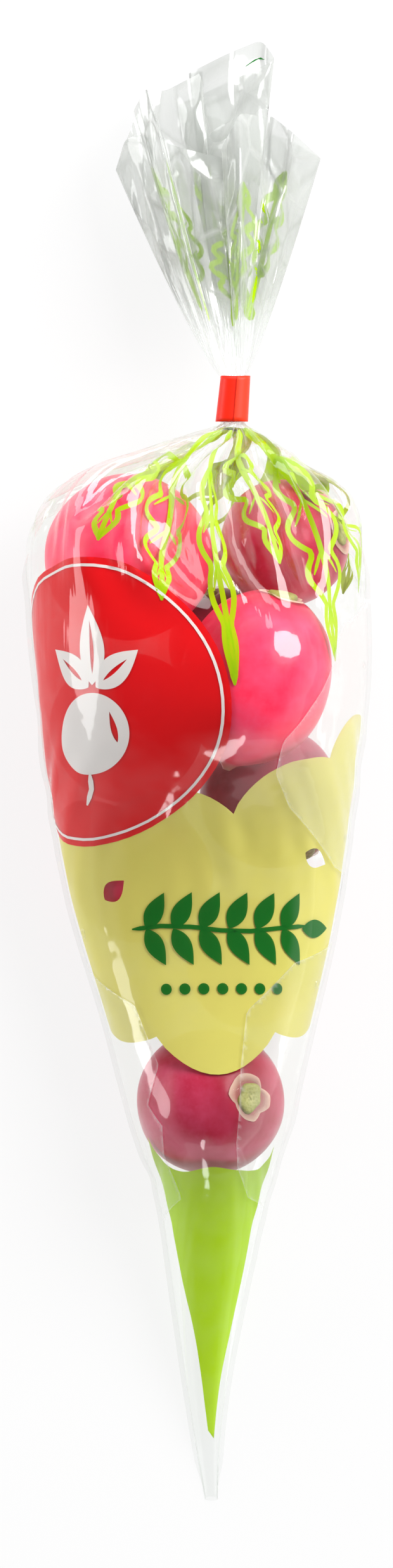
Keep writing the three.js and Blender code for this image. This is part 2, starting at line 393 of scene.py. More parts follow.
class CrownSettings(bpy.types.PropertyGroup):
    """Cut leaf stalks on the radishes."""

    stalk: colour("Stalk", "Colour of the cut stalks", "#8E8F3C")
    cut: colour("Cut", "Colour of the dried cut face", "#C2B878")
    collar: colour("Collar", "Colour of the dry skin round the stalks", "#D29583")
    collar_edge: colour("Collar edge", "Colour of the ragged edge", "#E2C4AE")


# Half outline of the cut stalks from the skin to the middle of the cut, as shares of the radish's radius:
# (from the axis, along the axis)
STALK_OUTLINE = [
    (0.18, 0.88),
    (0.185, 0.93),
    (0.175, 0.97),
    (0.15, 0.985),
    (0.1, 0.985),
    (0.05, 0.97),
    (0.0, 0.965),
]
STALK_RINGS = 18
STALK_SIDES = 40
STALK_LOBES = 5
STALK_DENT = 0.07
STALK_OVAL = 0.16
STALK_SLOPE = 0.012  # how far the cut may slope, as a share of the radish's radius
STALK_CUT_FROM = 0.95  # where the cut face starts along the axis, as such a share
# Half outline of the collar from the stalks to its free edge
COLLAR_OUTLINE = [(0.16, 0.93), (0.22, 0.945), (0.3, 0.96), (0.38, 0.95)]
COLLAR_RINGS = 9
COLLAR_SIDES = 90
COLLAR_TEARS = 13
COLLAR_REACHES = (0.3, 1)  # least and most length of the torn edge, as a share of the whole collar's
COLLAR_LIFTS = (-0.006, 0.02)  # how far the torn edge curls down or up, as a share of the radish's radius


def cut_stalk(settings):
    """Cut radish stalks: juicy green fibres in bundles, dried pale and dull on the cut face."""
    material, tree = new_material("cut_radish_stalk")
    place = add_node(tree, "ShaderNodeTexCoord").outputs["Object"]
    inward = add_node(tree, "ShaderNodeAttribute", attribute_name="inward").outputs["Fac"]
    # Bundles of fibres, about 0.7 mm
    fibres = add_node(tree, "ShaderNodeTexVoronoi", {"Vector": place, "Scale": 1 / (0.7 * MM)})
    dried = add_node(tree, "ShaderNodeMath", {0: inward, 1: fibres.outputs["Distance"]}, operation="MULTIPLY")
    pigment = add_node(
        tree,
        "ShaderNodeMix",
        {"Factor": dried.outputs[0], "A": settings.stalk, "B": settings.cut},
        data_type="RGBA",
    )
    bump = add_node(
        tree, "ShaderNodeBump", {"Height": fibres.outputs["Distance"], "Strength": 0.5, "Distance": 0.2 * MM}
    )
    shader = add_node(
        tree,
        "ShaderNodeBsdfPrincipled",
        {
            "Base Color": pigment.outputs["Result"],
            "Roughness": 0.5,
            "IOR": 1.4,
            "Normal": bump.outputs["Normal"],
        },
    )
    add_node(tree, "ShaderNodeOutputMaterial", {"Surface": shader.outputs[0]})
    return material


def dry_collar(settings):
    """Dry skin left where the leaves were cut: thin, papery and dull, half see-through, paler and denser to
    its torn edge."""
    material, tree = new_material("dry_radish_collar")
    place = add_node(tree, "ShaderNodeTexCoord").outputs["Object"]
    inward = add_node(tree, "ShaderNodeAttribute", attribute_name="inward").outputs["Fac"]
    # Blotches of about 2 mm
    blotch = add_node(tree, "ShaderNodeTexNoise", {"Vector": place, "Scale": 1 / (2 * MM), "Detail": 3.0})
    paled = add_node(tree, "ShaderNodeMath", {0: inward, 1: blotch.outputs["Fac"]}, operation="MULTIPLY")
    pigment = add_node(
        tree,
        "ShaderNodeMix",
        {"Factor": paled.outputs[0], "A": settings.collar_edge, "B": settings.collar},
        data_type="RGBA",
    )
    shader = add_node(
        tree,
        "ShaderNodeBsdfPrincipled",
        {"Base Color": pigment.outputs["Result"], "Roughness": 0.7, "IOR": 1.4},
    )
    clear = add_node(tree, "ShaderNodeBsdfTransparent")
    thinness = add_node(
        tree, "ShaderNodeMapRange", {"Value": inward, "From Max": 0.7, "To Min": 0.25, "To Max": 0.75}
    )
    surface = add_node(
        tree,
        "ShaderNodeMixShader",
        {0: thinness.outputs["Result"], 1: shader.outputs[0], 2: clear.outputs[0]},
    )
    add_node(tree, "ShaderNodeOutputMaterial", {"Surface": surface.outputs[0]})
    return material


class RADISHES_OT_crowns(bpy.types.Operator):
    """Makes the cut leaf stalks on each radish and the ragged collar of dry skin round them"""

    bl_idname = "radishes.crowns"
    bl_label = "Crowns"

    def execute(self, context):
        settings = context.scene.radish_bag_crowns
        draw = random.Random(5)
        balls = [fitted_ball(node) for node in RADISH_NODES]
        stalks = [self.stalks(draw, ball) for ball in balls]
        collars = [self.collar(draw, ball) for ball in balls]
        self.add_group("cut_stalks", stalks, cut_stalk(settings), STALK_RINGS, STALK_SIDES)
        self.add_group("stalk_collars", collars, dry_collar(settings), COLLAR_RINGS, COLLAR_SIDES)
        return {"FINISHED"}

    def add_group(self, name, grids, material, rings, sides):
        """All the turned shapes of one kind as one piece, with a value that grows inward over each."""
        parts = [(grid.reshape(-1, 3), grid_faces(rings, sides)) for grid in grids]
        points, faces = joined(parts)
        piece = add_piece(name, points, faces, material)
        inward = np.tile(np.repeat(np.linspace(0, 1, rings), sides), len(grids))
        add_values(piece, "inward", inward)

    def stalks(self, draw, ball):
        """A bundle of stalks, cut across."""
        outline = smooth_curve(STALK_OUTLINE, STALK_RINGS)
        angles = np.linspace(0, 2 * math.pi, STALK_SIDES, endpoint=False)
        bundles = STALK_DENT * np.cos(STALK_LOBES * angles + draw.uniform(0, 6))
        oval = STALK_OVAL * np.cos(2 * angles + draw.uniform(0, 6))
        across = np.maximum(outline[:, :1], 1e-4) * (1 + bundles + oval)
        slope = draw.uniform(-STALK_SLOPE, STALK_SLOPE) * np.cos(angles + draw.uniform(0, 6))
        along = outline[:, 1:] + slope * (outline[:, 1:] > STALK_CUT_FROM)
        return turned(ball, across, along)

    def collar(self, draw, ball):
        """A skirt of dry skin with a torn edge."""
        outline = smooth_curve(COLLAR_OUTLINE, COLLAR_RINGS)[::-1]
        inner = outline[-1]
        reach = self.ragged([draw.uniform(*COLLAR_REACHES) for _ in range(COLLAR_TEARS)])
        lift = self.ragged([draw.uniform(*COLLAR_LIFTS) for _ in range(COLLAR_TEARS)])
        across = inner[0] + (outline[:, :1] - inner[0]) * reach
        curl = lift * np.linspace(1, 0, COLLAR_RINGS)[:, None]
        along = inner[1] + (outline[:, 1:] - inner[1]) * reach + curl
        return turned(ball, across, along)

    def ragged(self, values):
        """Values round the collar, which change at an even rate from each given one to the next."""
        places = np.arange(COLLAR_SIDES) * len(values) / COLLAR_SIDES
        return np.interp(places, np.arange(len(values)), values, period=len(values))


# Film


class FilmSettings(bpy.types.PropertyGroup):
    """How the film was cut, how it settles and how clear it is."""

    spacing: length("Spacing", "Distance between the film's points while it settles", 2.0)
    sides: bpy.props.IntProperty(name="Sides", description="Points round the film", default=144, min=24)
    flare: share("Flare", "How much wider round the flat bag is for each length from its point", 1.09, 3)
    most_slack: share("Most slack", "Most that the film is longer round than the packed bag", 1.5, 4)
    pull: share("Pull", "Length of the film as a share of the packed bag's", 0.985, 2)
    contact: length("Contact", "Distance from a radish to the film that touches it", 0.5)
    rounds: bpy.props.IntProperty(name="Rounds", description="Rounds of settling", default=400, min=0)
    stiffness: share("Stiffness", "How strongly the film resists a sharp bend", 0.22)
    long_stiffness: share("Long stiffness", "How strongly the film resists a slow bend", 0.02)
    haze: share("Haze", "Share of the light that the smooth film scatters", 0.003)
    crease_haze: share("Crease haze", "Share of the light that a sharp crease scatters", 0.35)
    mirror: share("Mirror", "Share of the light that the film's two faces mirror from straight ahead", 0.05)
    tint: colour("Tint", "Colour of the film's haze", "#F4F6F6")
    clear: colour("Clear", "Colour of what is seen through one layer of film", "#FDFEFD")
    crumpled_haze: share("Crumpled haze", "Share of the light that the crumpled mouth scatters", 0.45)
    crumpled_tint: colour("Crumpled tint", "Colour of the haze of the crumpled mouth", "#CED0CD")
    dent_height: length("Dent height", "Height of the dents of the crumpled mouth", 1.5)
    gather_spacing: length("Gather spacing", "Distance round the bag between fine gathers at its neck", 2.5)
    gather_height: length("Gather height", "Height of the fine gathers", 0.6)
    gather_reach: length("Gather reach", "How far from the tape the fine gathers fade away", 80)


FILM_PIECE = "clear_film_bag"
SECTION_STEP = 1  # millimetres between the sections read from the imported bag
TAPE_CLEARANCE = 2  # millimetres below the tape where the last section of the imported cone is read
RAY_START = 0.2  # metres from a section's middle, well outside the bag
NECK_INSET = 1.1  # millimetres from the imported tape's outer face to the film in it
HELD_BELOW_TAPE = 0.5  # millimetres below the tape where the held film starts
POINT_WELD = 10  # millimetres from the bag's point that are welded shut
# Corners of the cut edge of the mouth, where its folds end: (x, y above the held neck, z), in millimetres.
# They run from the right side over the front to the left side, and on along the back.
MOUTH_FRONT = [
    (32.6, 58, 19),
    (24.3, 65, 29),
    (19.6, 69, 24),
    (11.0, 69.5, 33),
    (5.5, 59.5, 31),
    (12.0, 56.5, 28.5),
    (-4.3, 60.5, 30),
    (-8.7, 62, 27),
    (-13.6, 76.5, 32),
    (-17.4, 70, 27),
    (-12.4, 65, 25),
    (-19.3, 63.5, 21),
    (-22, 55, 17),
]
MOUTH_BACK = [
    (-22, 55, 17),
    (-14.3, 76, 13),
    (-8.6, 76.5, 12),
    (2.0, 82, 12.5),
    (-3.0, 81, 11.5),
    (7.4, 86, 12),
    (16.7, 90, 11),
    (20.6, 84.5, 12.5),
    (-6.0, 72.5, 11),
    (24.2, 63.5, 9),
    (32.6, 58, 19),
]
MOUTH_SWELL = 0.86  # below 1, the sides of the mouth swell out on their way from the neck
CRUMPLES_ROUND = 26
CRUMPLES_ALONG = 7
CRUMPLE_HEIGHT = 1.7
CRUMPLE_SWAY = 0.6  # how far the lines between dents swing up and down, as a share of a dent's length
SHOULDER_FOLDS = 14
FOLD_HEIGHT = 4.5  # millimetres
FOLD_OUTWARD = 0.4  # how far folds stand outward rather than inward, as a share of their height
FOLD_SLACK_FROM, FOLD_SLACK_SPAN = 1.02, 0.5  # slack where folds start, and more slack where they are full
FOLD_FADE = 12  # millimetres from the neck over which folds flatten
FOLD_LEAST = 0.08  # share of their height that is left at the neck
SHEAR_STRENGTH = 0.4
LONG_BEND_STEPS = 6
DRIFT_KEPT = 0.6  # share of its last move that film carries into the next round, less in each round
SINK = 0.004  # millimetres that film sinks in a round
SURFACE_GAP = 0.2  # millimetres from the surface that the bag lies on to the film
CONTACT_WATCH = 25  # how near to a radish film is tested against it, in millimetres
TAUT_PASSES = 4
TAUT_SLACK = 0.05  # slack over which film is no longer smoothed
OUTLINE_ROOM = 0.3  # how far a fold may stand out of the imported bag's outline, in millimetres
CRUMPLED_FROM = 30  # millimetres over the tape where the mouth is fully crumpled
TUBE_ROUND = 200  # millimetres round the bag, as a pattern's width
GATHER_STRETCH = 0.07  # how closely gathers vary along the film, next to round it
DENT_WIDTH = 8  # millimetres
DENT_STRETCH = 5  # how much more closely than gathers dents vary along the film
# Sheaf of gathers that runs down the front from the tape: where it is and how wide in turns round the bag,
# and how far it reaches in millimetres
SHEAF_TURN = 0.2
SHEAF_WIDTH = 0.035
SHEAF_REACH = 75


def packed_sections(film):
    """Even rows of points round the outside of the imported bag, from its tip to its neck, in millimetres."""
    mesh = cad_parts["bag_film"].data
    tree = BVHTree.FromPolygons([v.co for v in mesh.vertices], [p.vertices for p in mesh.polygons])
    points = node_points("bag_film")
    tape_low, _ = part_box("neck_tape")
    cone = points[points[:, 1] < tape_low.y - TAPE_CLEARANCE * MM]
    stations = np.unique(cone[:, 1].round(5))
    rows = [cone[abs(cone[:, 1] - y) < 1e-4] for y in stations]
    middles = np.array([(row.min(0) + row.max(0)) / 2 for row in rows])
    neck = (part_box("neck_tape")[0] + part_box("neck_tape")[1]) / 2
    stations = np.r_[stations, tape_low.y]
    middles = np.vstack([middles, (neck.x, tape_low.y, neck.z)])
    half = film.sides // 2
    angles = np.linspace(0, math.pi, 2 * half + 1)
    sections = []
    for y in np.arange(stations[0] + SECTION_STEP * MM, tape_low.y, SECTION_STEP * MM):
        x = np.interp(y, stations, middles[:, 0])
        z = np.interp(y, stations, middles[:, 2])
        upper = [outside_point(tree, x, y, z, angle) for angle in angles]
        lower = [outside_point(tree, x, y, z, angle + math.pi) for angle in angles]
        ring = [evenly_spaced(np.array(side), half + 1)[:-1] for side in (upper, lower)]
        sections.append(np.vstack(ring))
    return np.array(sections) / MM


def outside_point(tree, x, y, z, angle):
    """Where a ray from outside, at an angle round a section's middle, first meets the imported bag."""
    out = Vector((math.cos(angle), 0, math.sin(angle)))
    middle = Vector((x, y, z))
    hit = tree.ray_cast(middle + out * RAY_START, -out)[0]
    return hit if hit else middle


def even_rows(sections, spacing):
    """The sections, moved along the bag so that rows are evenly spaced over the film."""
    steps = np.linalg.norm(np.diff(sections, axis=0), axis=2).mean(1)
    along = np.r_[0, np.cumsum(steps)]
    places = np.linspace(0, along[-1], int(along[-1] / spacing) + 1)
    flat = sections.reshape(len(sections), -1)
    rows = np.stack([np.interp(places, along, column) for column in flat.T], axis=1)
    return rows.reshape(len(places), *sections.shape[1:]), places


def fold_shape(draw, count, turns):
    """A folded line round the film: ridges and valleys of uneven size at uneven places."""
    places = [(i + draw.uniform(-0.3, 0.3)) / (2 * count) for i in range(2 * count)]
    heights = [(1 if i % 2 else -1) * draw.uniform(0.3, 1) for i in range(2 * count)]
    return np.interp(turns, places, heights, period=1)


def mouth_rows(film, held, draw):
    """Rows of the loose mouth from the tape to its cut edge, in millimetres: flat folds that spread from
    the neck."""
    half = film.sides // 2
    sides = [evenly_spaced(np.array(corners, float), half + 1)[:-1] for corners in (MOUTH_FRONT, MOUTH_BACK)]
    rim = np.vstack(sides) + (0, held[0, 1], 0)
    count = int(max(rim[:, 1] - held[0, 1]) / (film.spacing / MM))
    shares = np.linspace(0, 1, count + 1)[1:, None, None]
    spread = np.concatenate([shares**MOUTH_SWELL, shares, shares**MOUTH_SWELL], axis=2)
    rows = held + (rim - held) * spread
    rows[..., 2] += shares[..., 0] * crumples(draw, count, film.sides)
    return rows


def crumples(draw, rows, sides):
    """Heights of small flat dents that meet in sharp lines, over a grid of points round the film."""
    coarse = np.array([[draw.gauss(0, 1) for _ in range(CRUMPLES_ROUND)] for _ in range(CRUMPLES_ALONG + 1)])
    turns = np.arange(sides) * CRUMPLES_ROUND / sides
    round_film = np.arange(CRUMPLES_ROUND)
    fine = np.array([np.interp(turns, round_film, line, period=CRUMPLES_ROUND) for line in coarse])
    sway = [draw.uniform(-CRUMPLE_SWAY, CRUMPLE_SWAY) for _ in range(CRUMPLES_ROUND)]
    sway = np.interp(turns, round_film, sway, period=CRUMPLES_ROUND)
    places = np.linspace(0, CRUMPLES_ALONG, rows)
    along_film = np.arange(CRUMPLES_ALONG + 1)
    columns = [np.interp(places + shift, along_film, column) for shift, column in zip(sway, fine.T)]
    return CRUMPLE_HEIGHT * np.array(columns).T


def film_start(film):
    """The film with its folds before it settles, the same film without folds, how much longer round each row
    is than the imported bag, and which rows stay where they are."""
    draw = random.Random(7)
    spacing = film.spacing / MM
    cone, from_tip = even_rows(packed_sections(film), spacing)
    perimeter = np.linalg.norm(np.roll(cone, -1, axis=1) - cone, axis=2).sum(1)
    slack = np.clip(film.flare * (from_tip - POINT_WELD) / perimeter, 1.0, film.most_slack)
    low, high = (np.array(corner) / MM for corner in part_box("neck_tape"))
    neck, half = (low + high) / 2, (high - low) / 2 - NECK_INSET
    turns = np.arange(film.sides) / film.sides
    angle = 2 * math.pi * turns
    ring = np.stack([neck[0] + half[0] * np.cos(angle), 0 * angle, neck[2] + half[2] * np.sin(angle)], axis=1)
    held_y = np.arange(low[1] - HELD_BELOW_TAPE, high[1], spacing)
    held = ring + held_y[:, None, None] * (0, 1, 0)
    mouth = mouth_rows(film, held[-1], draw)
    # Folds of the shoulder, seeded so that the slack film gathers into pleats that run to the neck
    folds = fold_shape(draw, SHOULDER_FOLDS, turns)
    middle = cone.mean(1, keepdims=True)
    out = cone - middle
    out /= np.maximum(np.linalg.norm(out, axis=2, keepdims=True), 1e-6)
    fullness = np.clip((slack - FOLD_SLACK_FROM) / FOLD_SLACK_SPAN, 0, 1)
    fade = np.clip((from_tip[-1] - from_tip) / FOLD_FADE, FOLD_LEAST, 1)
    fold_height = FOLD_HEIGHT * fullness * fade
    folded = cone + out * (fold_height[:, None] * (folds + FOLD_OUTWARD))[..., None]
    start = np.concatenate([folded, held, mouth])
    plain = np.concatenate([cone, held, mouth])
    slack = np.concatenate([slack, np.ones(len(held) + len(mouth))])
    pinned = np.zeros(len(start), bool)
    pinned[len(cone) :] = True
    return start, plain, slack, pinned


def film_springs(film, plain, slack):
    """Batches of pairs of points that share no point, with the length that the film keeps between them."""
    rows, sides, _ = plain.shape
    index = np.arange(rows * sides).reshape(rows, sides)
    round_rest = np.linalg.norm(np.roll(plain, -1, axis=1) - plain, axis=2) * slack[:, None]
    round_rest = 0.5 * round_rest + 0.5 * round_rest.mean(1, keepdims=True)
    along_rest = np.linalg.norm(np.diff(plain, axis=0), axis=2) * film.pull
    batches = []

    def add(first, second, rest, strength):
        batches.append((first.ravel(), second.ravel(), rest.ravel(), strength))

    def add_straight(reach, strength):
        """Pairs that far apart along a row and along a column. Over more than one step they resist a bend."""
        for half in (0, 1):
            side = np.flatnonzero(np.arange(sides) // reach % 2 == half)
            rest = sum(round_rest[:, (side + step) % sides] for step in range(reach))
            add(index[:, side], index[:, (side + reach) % sides], rest, strength)
            row = np.flatnonzero(np.arange(rows - reach) // reach % 2 == half)
            rest = sum(along_rest[row + step] for step in range(reach))
            add(index[row], index[row + reach], rest, strength)

    def add_slanted(turn, strength):
        """Pairs across the film's squares, which resist shear."""
        across = np.roll(index, -turn, axis=1)
        step = round_rest if turn == 1 else np.roll(round_rest, 1, axis=1)
        for start in (0, 1):
            row = np.arange(start, rows - 1, 2)
            diagonal = np.hypot(along_rest[row], (step[row] + step[row + 1]) / 2)
            add(index[row], across[row + 1], diagonal, strength)

    add_straight(1, 1.0)
    add_slanted(1, SHEAR_STRENGTH)
    add_slanted(-1, SHEAR_STRENGTH)
    add_straight(2, film.stiffness)
    add_straight(LONG_BEND_STEPS, film.long_stiffness)
    return batches


def settled(film, start, plain, slack, pinned):
    """The film after it has settled: it keeps its lengths, bends stiffly and lies on the radishes and the
    surface."""
    rows, sides, _ = start.shape
    points = start.reshape(-1, 3).copy()
    before = points.copy()
    batches = film_springs(film, plain, slack)
    fixed = np.repeat(pinned, sides)
    fixed_points = points[fixed].copy()
    balls = []
    for node in RADISH_NODES:
        ball = fitted_ball(node)
        radius = (ball.radius + film.contact) / MM
        for way in (1, -1) if ball.stretch > 1 else (0,):
            centre = (ball.centre + way * (ball.stretch - 1) * ball.radius * ball.crown) / MM
            near = np.linalg.norm(points - centre, axis=1) < radius + CONTACT_WATCH
            balls.append((centre, radius, np.flatnonzero(near)))
    outline_y = plain[..., 1].mean(1)
    outline_left = plain[..., 0].min(1) - OUTLINE_ROOM
    outline_right = plain[..., 0].max(1) + OUTLINE_ROOM
    rounds = film.rounds
    for turn in range(rounds):
        drift = DRIFT_KEPT * (points - before) * (1 - turn / rounds)
        before = points.copy()
        points += drift
        points[:, 2] -= SINK
        for first, second, rest, strength in batches:
            gap = points[second] - points[first]
            span = np.sqrt((gap * gap).sum(1)) + 1e-9
            move = gap * (0.5 * strength * (1 - rest / span))[:, None]
            points[first] += move
            points[second] -= move
        for centre, radius, near in balls:
            out = points[near] - centre
            span = np.sqrt((out * out).sum(1))
            inside = span < radius
            points[near[inside]] = centre + out[inside] * (radius / span[inside])[:, None]
        left = np.interp(points[:, 1], outline_y, outline_left)
        right = np.interp(points[:, 1], outline_y, outline_right)
        points[:, 0] = np.clip(points[:, 0], left, right)
        points[:, 2] = np.maximum(points[:, 2], SURFACE_GAP)
        points[fixed] = fixed_points
    return points.reshape(rows, sides, 3)


def smoothed_where_taut(grid, slack, pinned):
    """The film without the small ripples round it where it is taut."""
    taut = (np.clip(1 - (slack - 1) / TAUT_SLACK, 0, 1) * ~pinned)[:, None, None]
    for _ in range(TAUT_PASSES):
        even = (np.roll(grid, 1, axis=1) + 2 * grid + np.roll(grid, -1, axis=1)) / 4
        grid = grid + taut * (even - grid)
    return grid


def refined(grid):
    """The film with twice as many points each way, on the smooth surface that its points stand for."""
    before, after = np.roll(grid, 1, axis=1), np.roll(grid, -1, axis=1)
    wide = np.empty((grid.shape[0], grid.shape[1] * 2, 3))
    wide[:, 0::2] = (before + 6 * grid + after) / 8
    wide[:, 1::2] = (grid + after) / 2
    tall = np.empty((grid.shape[0] * 2 - 1, wide.shape[1], 3))
    tall[0::2] = wide
    tall[2:-2:2] = (wide[:-2] + 6 * wide[1:-1] + wide[2:]) / 8
    tall[1::2] = (wide[:-1] + wide[1:]) / 2
    return tall


def creasing(grid):
    """How sharply the film bends at each point, in radians for a step between points."""
    bends = []
    for axis in (0, 1):
        step = np.diff(grid, axis=axis, append=grid[:1] if axis == 0 else grid[:, :1])
        step /= np.maximum(np.linalg.norm(step, axis=2, keepdims=True), 1e-9)
        turn = (step * np.roll(step, 1, axis=axis)).sum(2)
        bends.append(np.arccos(np.clip(turn, -1, 1)))
    bends[0][0] = bends[0][-1] = 0
    return np.maximum(*bends)


def clear_film(settings):
    """Clear oriented polypropylene film, cast and stretched: see-through, with sharp mirror streaks from its
    two glossy faces, milky where it is creased or crumpled, and finely gathered beside the tape."""
    material, tree = new_material("clear_polypropylene_film")
    place = add_node(tree, "ShaderNodeTexCoord").outputs["Object"]
    crease = add_node(tree, "ShaderNodeAttribute", attribute_name="crease").outputs["Fac"]
    crumpled = add_node(tree, "ShaderNodeAttribute", attribute_name="crumpled").outputs["Fac"]
    tube = add_node(tree, "ShaderNodeAttribute", attribute_name="tube").outputs["Vector"]
    gathered = add_node(tree, "ShaderNodeAttribute", attribute_name="gathered").outputs["Fac"]
    # Faint waves of the thin film, about 12 mm across
    waves = add_node(
        tree, "ShaderNodeTexNoise", {"Vector": place, "Scale": 1 / (12 * MM), "Detail": 2.0, "Roughness": 0.4}
    )
    waved = add_node(
        tree, "ShaderNodeBump", {"Height": waves.outputs["Fac"], "Strength": 0.45, "Distance": 1.0 * MM}
    )
    # Crumples of the mouth: long dents that meet in sharp white lines
    drawn_out = add_node(tree, "ShaderNodeMapping", {"Vector": tube, "Scale": (1, 1, DENT_STRETCH)})
    dent_place = {"Vector": drawn_out.outputs["Vector"], "Scale": 1 / (DENT_WIDTH * MM)}
    dents = add_node(tree, "ShaderNodeTexVoronoi", dent_place)
    borders = add_node(tree, "ShaderNodeTexVoronoi", dent_place, feature="DISTANCE_TO_EDGE")
    border_lines = add_node(
        tree,
        "ShaderNodeMapRange",
        {
            "Value": borders.outputs["Distance"],
            "From Max": 0.07,
            "To Min": 0.9,
            "To Max": settings.crumpled_haze,
        },
    )
    dented = add_node(
        tree, "ShaderNodeMath", {0: dents.outputs["Distance"], 1: crumpled}, operation="MULTIPLY"
    )
    crumples = add_node(
        tree,
        "ShaderNodeBump",
        {"Height": dented.outputs[0], "Distance": settings.dent_height, "Normal": waved.outputs["Normal"]},
    )
    # Fine gathers along the film, at their real spacing round the flat bag
    gathers = add_node(
        tree, "ShaderNodeTexNoise", {"Vector": tube, "Scale": 1 / settings.gather_spacing, "Detail": 2.0}
    )
    height = add_node(tree, "ShaderNodeMath", {0: gathers.outputs["Fac"], 1: gathered}, operation="MULTIPLY")
    bump = add_node(
        tree,
        "ShaderNodeBump",
        {
            "Height": height.outputs[0],
            "Distance": settings.gather_height,
            "Normal": crumples.outputs["Normal"],
        },
    )
    normal = bump.outputs["Normal"]
    clear = add_node(tree, "ShaderNodeBsdfTransparent", {"Color": settings.clear})
    gloss = add_node(
        tree, "ShaderNodeBsdfGlossy", {"Color": (1, 1, 1, 1), "Roughness": 0.07, "Normal": normal}
    )
    tint = add_node(
        tree,
        "ShaderNodeMix",
        {"Factor": crumpled, "A": settings.tint, "B": settings.crumpled_tint},
        data_type="RGBA",
    )
    scattered = {"Color": tint.outputs["Result"], "Normal": normal}
    haze_front = add_node(tree, "ShaderNodeBsdfDiffuse", scattered)
    haze_back = add_node(tree, "ShaderNodeBsdfTranslucent", scattered)
    haze = add_node(
        tree, "ShaderNodeMixShader", {0: 0.5, 1: haze_front.outputs[0], 2: haze_back.outputs[0]}
    )
    creased = add_node(
        tree,
        "ShaderNodeMapRange",
        {
            "Value": crease,
            "From Min": 0.1,
            "From Max": 0.6,
            "To Min": settings.haze,
            "To Max": settings.crease_haze,
        },
    )
    # White lines along the sharpest gathers
    ridges = add_node(
        tree,
        "ShaderNodeMapRange",
        {"Value": height.outputs[0], "From Min": 0.5, "From Max": 0.65, "To Max": settings.crease_haze},
    )
    lined = add_node(
        tree,
        "ShaderNodeMath",
        {0: creased.outputs["Result"], 1: ridges.outputs["Result"]},
        operation="MAXIMUM",
    )
    milky = add_node(
        tree,
        "ShaderNodeMath",
        {0: crumpled, 1: border_lines.outputs["Result"], 2: lined.outputs[0]},
        operation="MULTIPLY_ADD",
        use_clamp=True,
    )
    # Mirroring that grows to a glancing angle, the same from both sides of a thin film
    aslant = add_node(tree, "ShaderNodeLayerWeight", {"Blend": 0.5, "Normal": normal})
    glancing = add_node(tree, "ShaderNodeMath", {0: aslant.outputs["Facing"], 1: 5.0}, operation="POWER")
    mirror = add_node(
        tree, "ShaderNodeMapRange", {"Value": glancing.outputs[0], "To Min": settings.mirror, "To Max": 0.9}
    )
    body = add_node(
        tree, "ShaderNodeMixShader", {0: milky.outputs[0], 1: clear.outputs[0], 2: haze.outputs[0]}
    )
    surface = add_node(
        tree, "ShaderNodeMixShader", {0: mirror.outputs["Result"], 1: body.outputs[0], 2: gloss.outputs[0]}
    )
    add_node(tree, "ShaderNodeOutputMaterial", {"Surface": surface.outputs[0]})
    return material


class RADISHES_OT_film(bpy.types.Operator):
    """Makes the film bag: lets a cone of film settle round the radishes"""

    bl_idname = "radishes.film"
    bl_label = "Film bag"

    def execute(self, context):
        settings = context.scene.radish_bag_film
        start, plain, slack, pinned = film_start(settings)
        grid = settled(settings, start, plain, slack, pinned)
        grid = refined(smoothed_where_taut(grid, slack, pinned))
        rows, sides, _ = grid.shape
        faces = grid_faces(rows, sides)
        piece = add_piece(FILM_PIECE, grid.reshape(-1, 3) * MM, faces, clear_film(settings))
        tape_low, tape_high = (corner.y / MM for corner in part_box("neck_tape"))
        from_tape = np.maximum(tape_low - grid[..., 1], grid[..., 1] - tape_high)
        add_values(piece, "crease", creasing(grid).ravel())
        crumpled = np.clip((grid[..., 1].ravel() - tape_high) / CRUMPLED_FROM, 0, 1)
        add_values(piece, "crumpled", crumpled**2 * (3 - 2 * crumpled))
        gathered = np.clip(1 - from_tape * MM / settings.gather_reach, 0, 1)
        sheaf = np.exp(-(((np.arange(sides) / sides - SHEAF_TURN) / SHEAF_WIDTH) ** 2))
        sheaf = sheaf * np.clip(2 * (1 - from_tape / SHEAF_REACH), 0, 1)
        add_values(piece, "gathered", np.maximum(gathered, sheaf).ravel())
        tube = piece.data.attributes.new("tube", "FLOAT_VECTOR", "POINT")
        tube.data.foreach_set("vector", self.rolled_flat(rows, sides, settings).ravel().astype(np.float32))
        piece["rows"], piece["sides"] = rows, sides
        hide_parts("bag_film")
        return {"FINISHED"}

    def rolled_flat(self, rows, sides, settings):
        """Places on the flat bag rolled to an even tube, so that a pattern on it runs along the film to the
        neck."""
        angle = 2 * math.pi * np.arange(sides) / sides
        radius = TUBE_ROUND * MM / (2 * math.pi)
        along = np.arange(rows) * settings.spacing / 2 * GATHER_STRETCH
        places = np.broadcast_arrays(radius * np.cos(angle), radius * np.sin(angle), along[:, None])
        return np.stack(places, axis=-1)


# Printing


class PrintSettings(bpy.types.PropertyGroup):
    """Inks of the printing on the film."""

    red: colour("Red", "Ink of the disc", "#DE0D14")
    white: colour("White", "Ink of the fine lines on the disc", "#EAE6E4")
    yellow: colour("Yellow", "Ink of the scalloped panel", "#DAD26B")
    lime: colour("Lime", "Ink of the leaves and the point", "#B2DA02")
    dark_green: colour("Dark green", "Ink of the sprig and the cutting mark", "#0D6A1C")
    depth: length("Depth", "How far under the film's outer face the ink lies", 0.22)
    line: length("Line", "Width of a drawn line", 1.5)
    brush: length("Brush", "Width of a line of the leaves at the mouth", 1.4)


# Places on the flat front panel, in millimetres: x to the right of its middle, s from the tip of the bag
DISC_MIDDLE = (-34, 224.5)
DISC_RADIUS = 40.5
KEYLINE_RADII = (37.9, 38.7)
# Where the lobes of the panel's edges meet. The first and last of each are moved to the weld.
PANEL_TOP = [(-60, 188), (-24, 196), (8, 193), (38, 211), (66, 222)]
PANEL_BOTTOM = [(44, 135), (18.5, 133.5), (-14.5, 132.5), (-42, 135)]
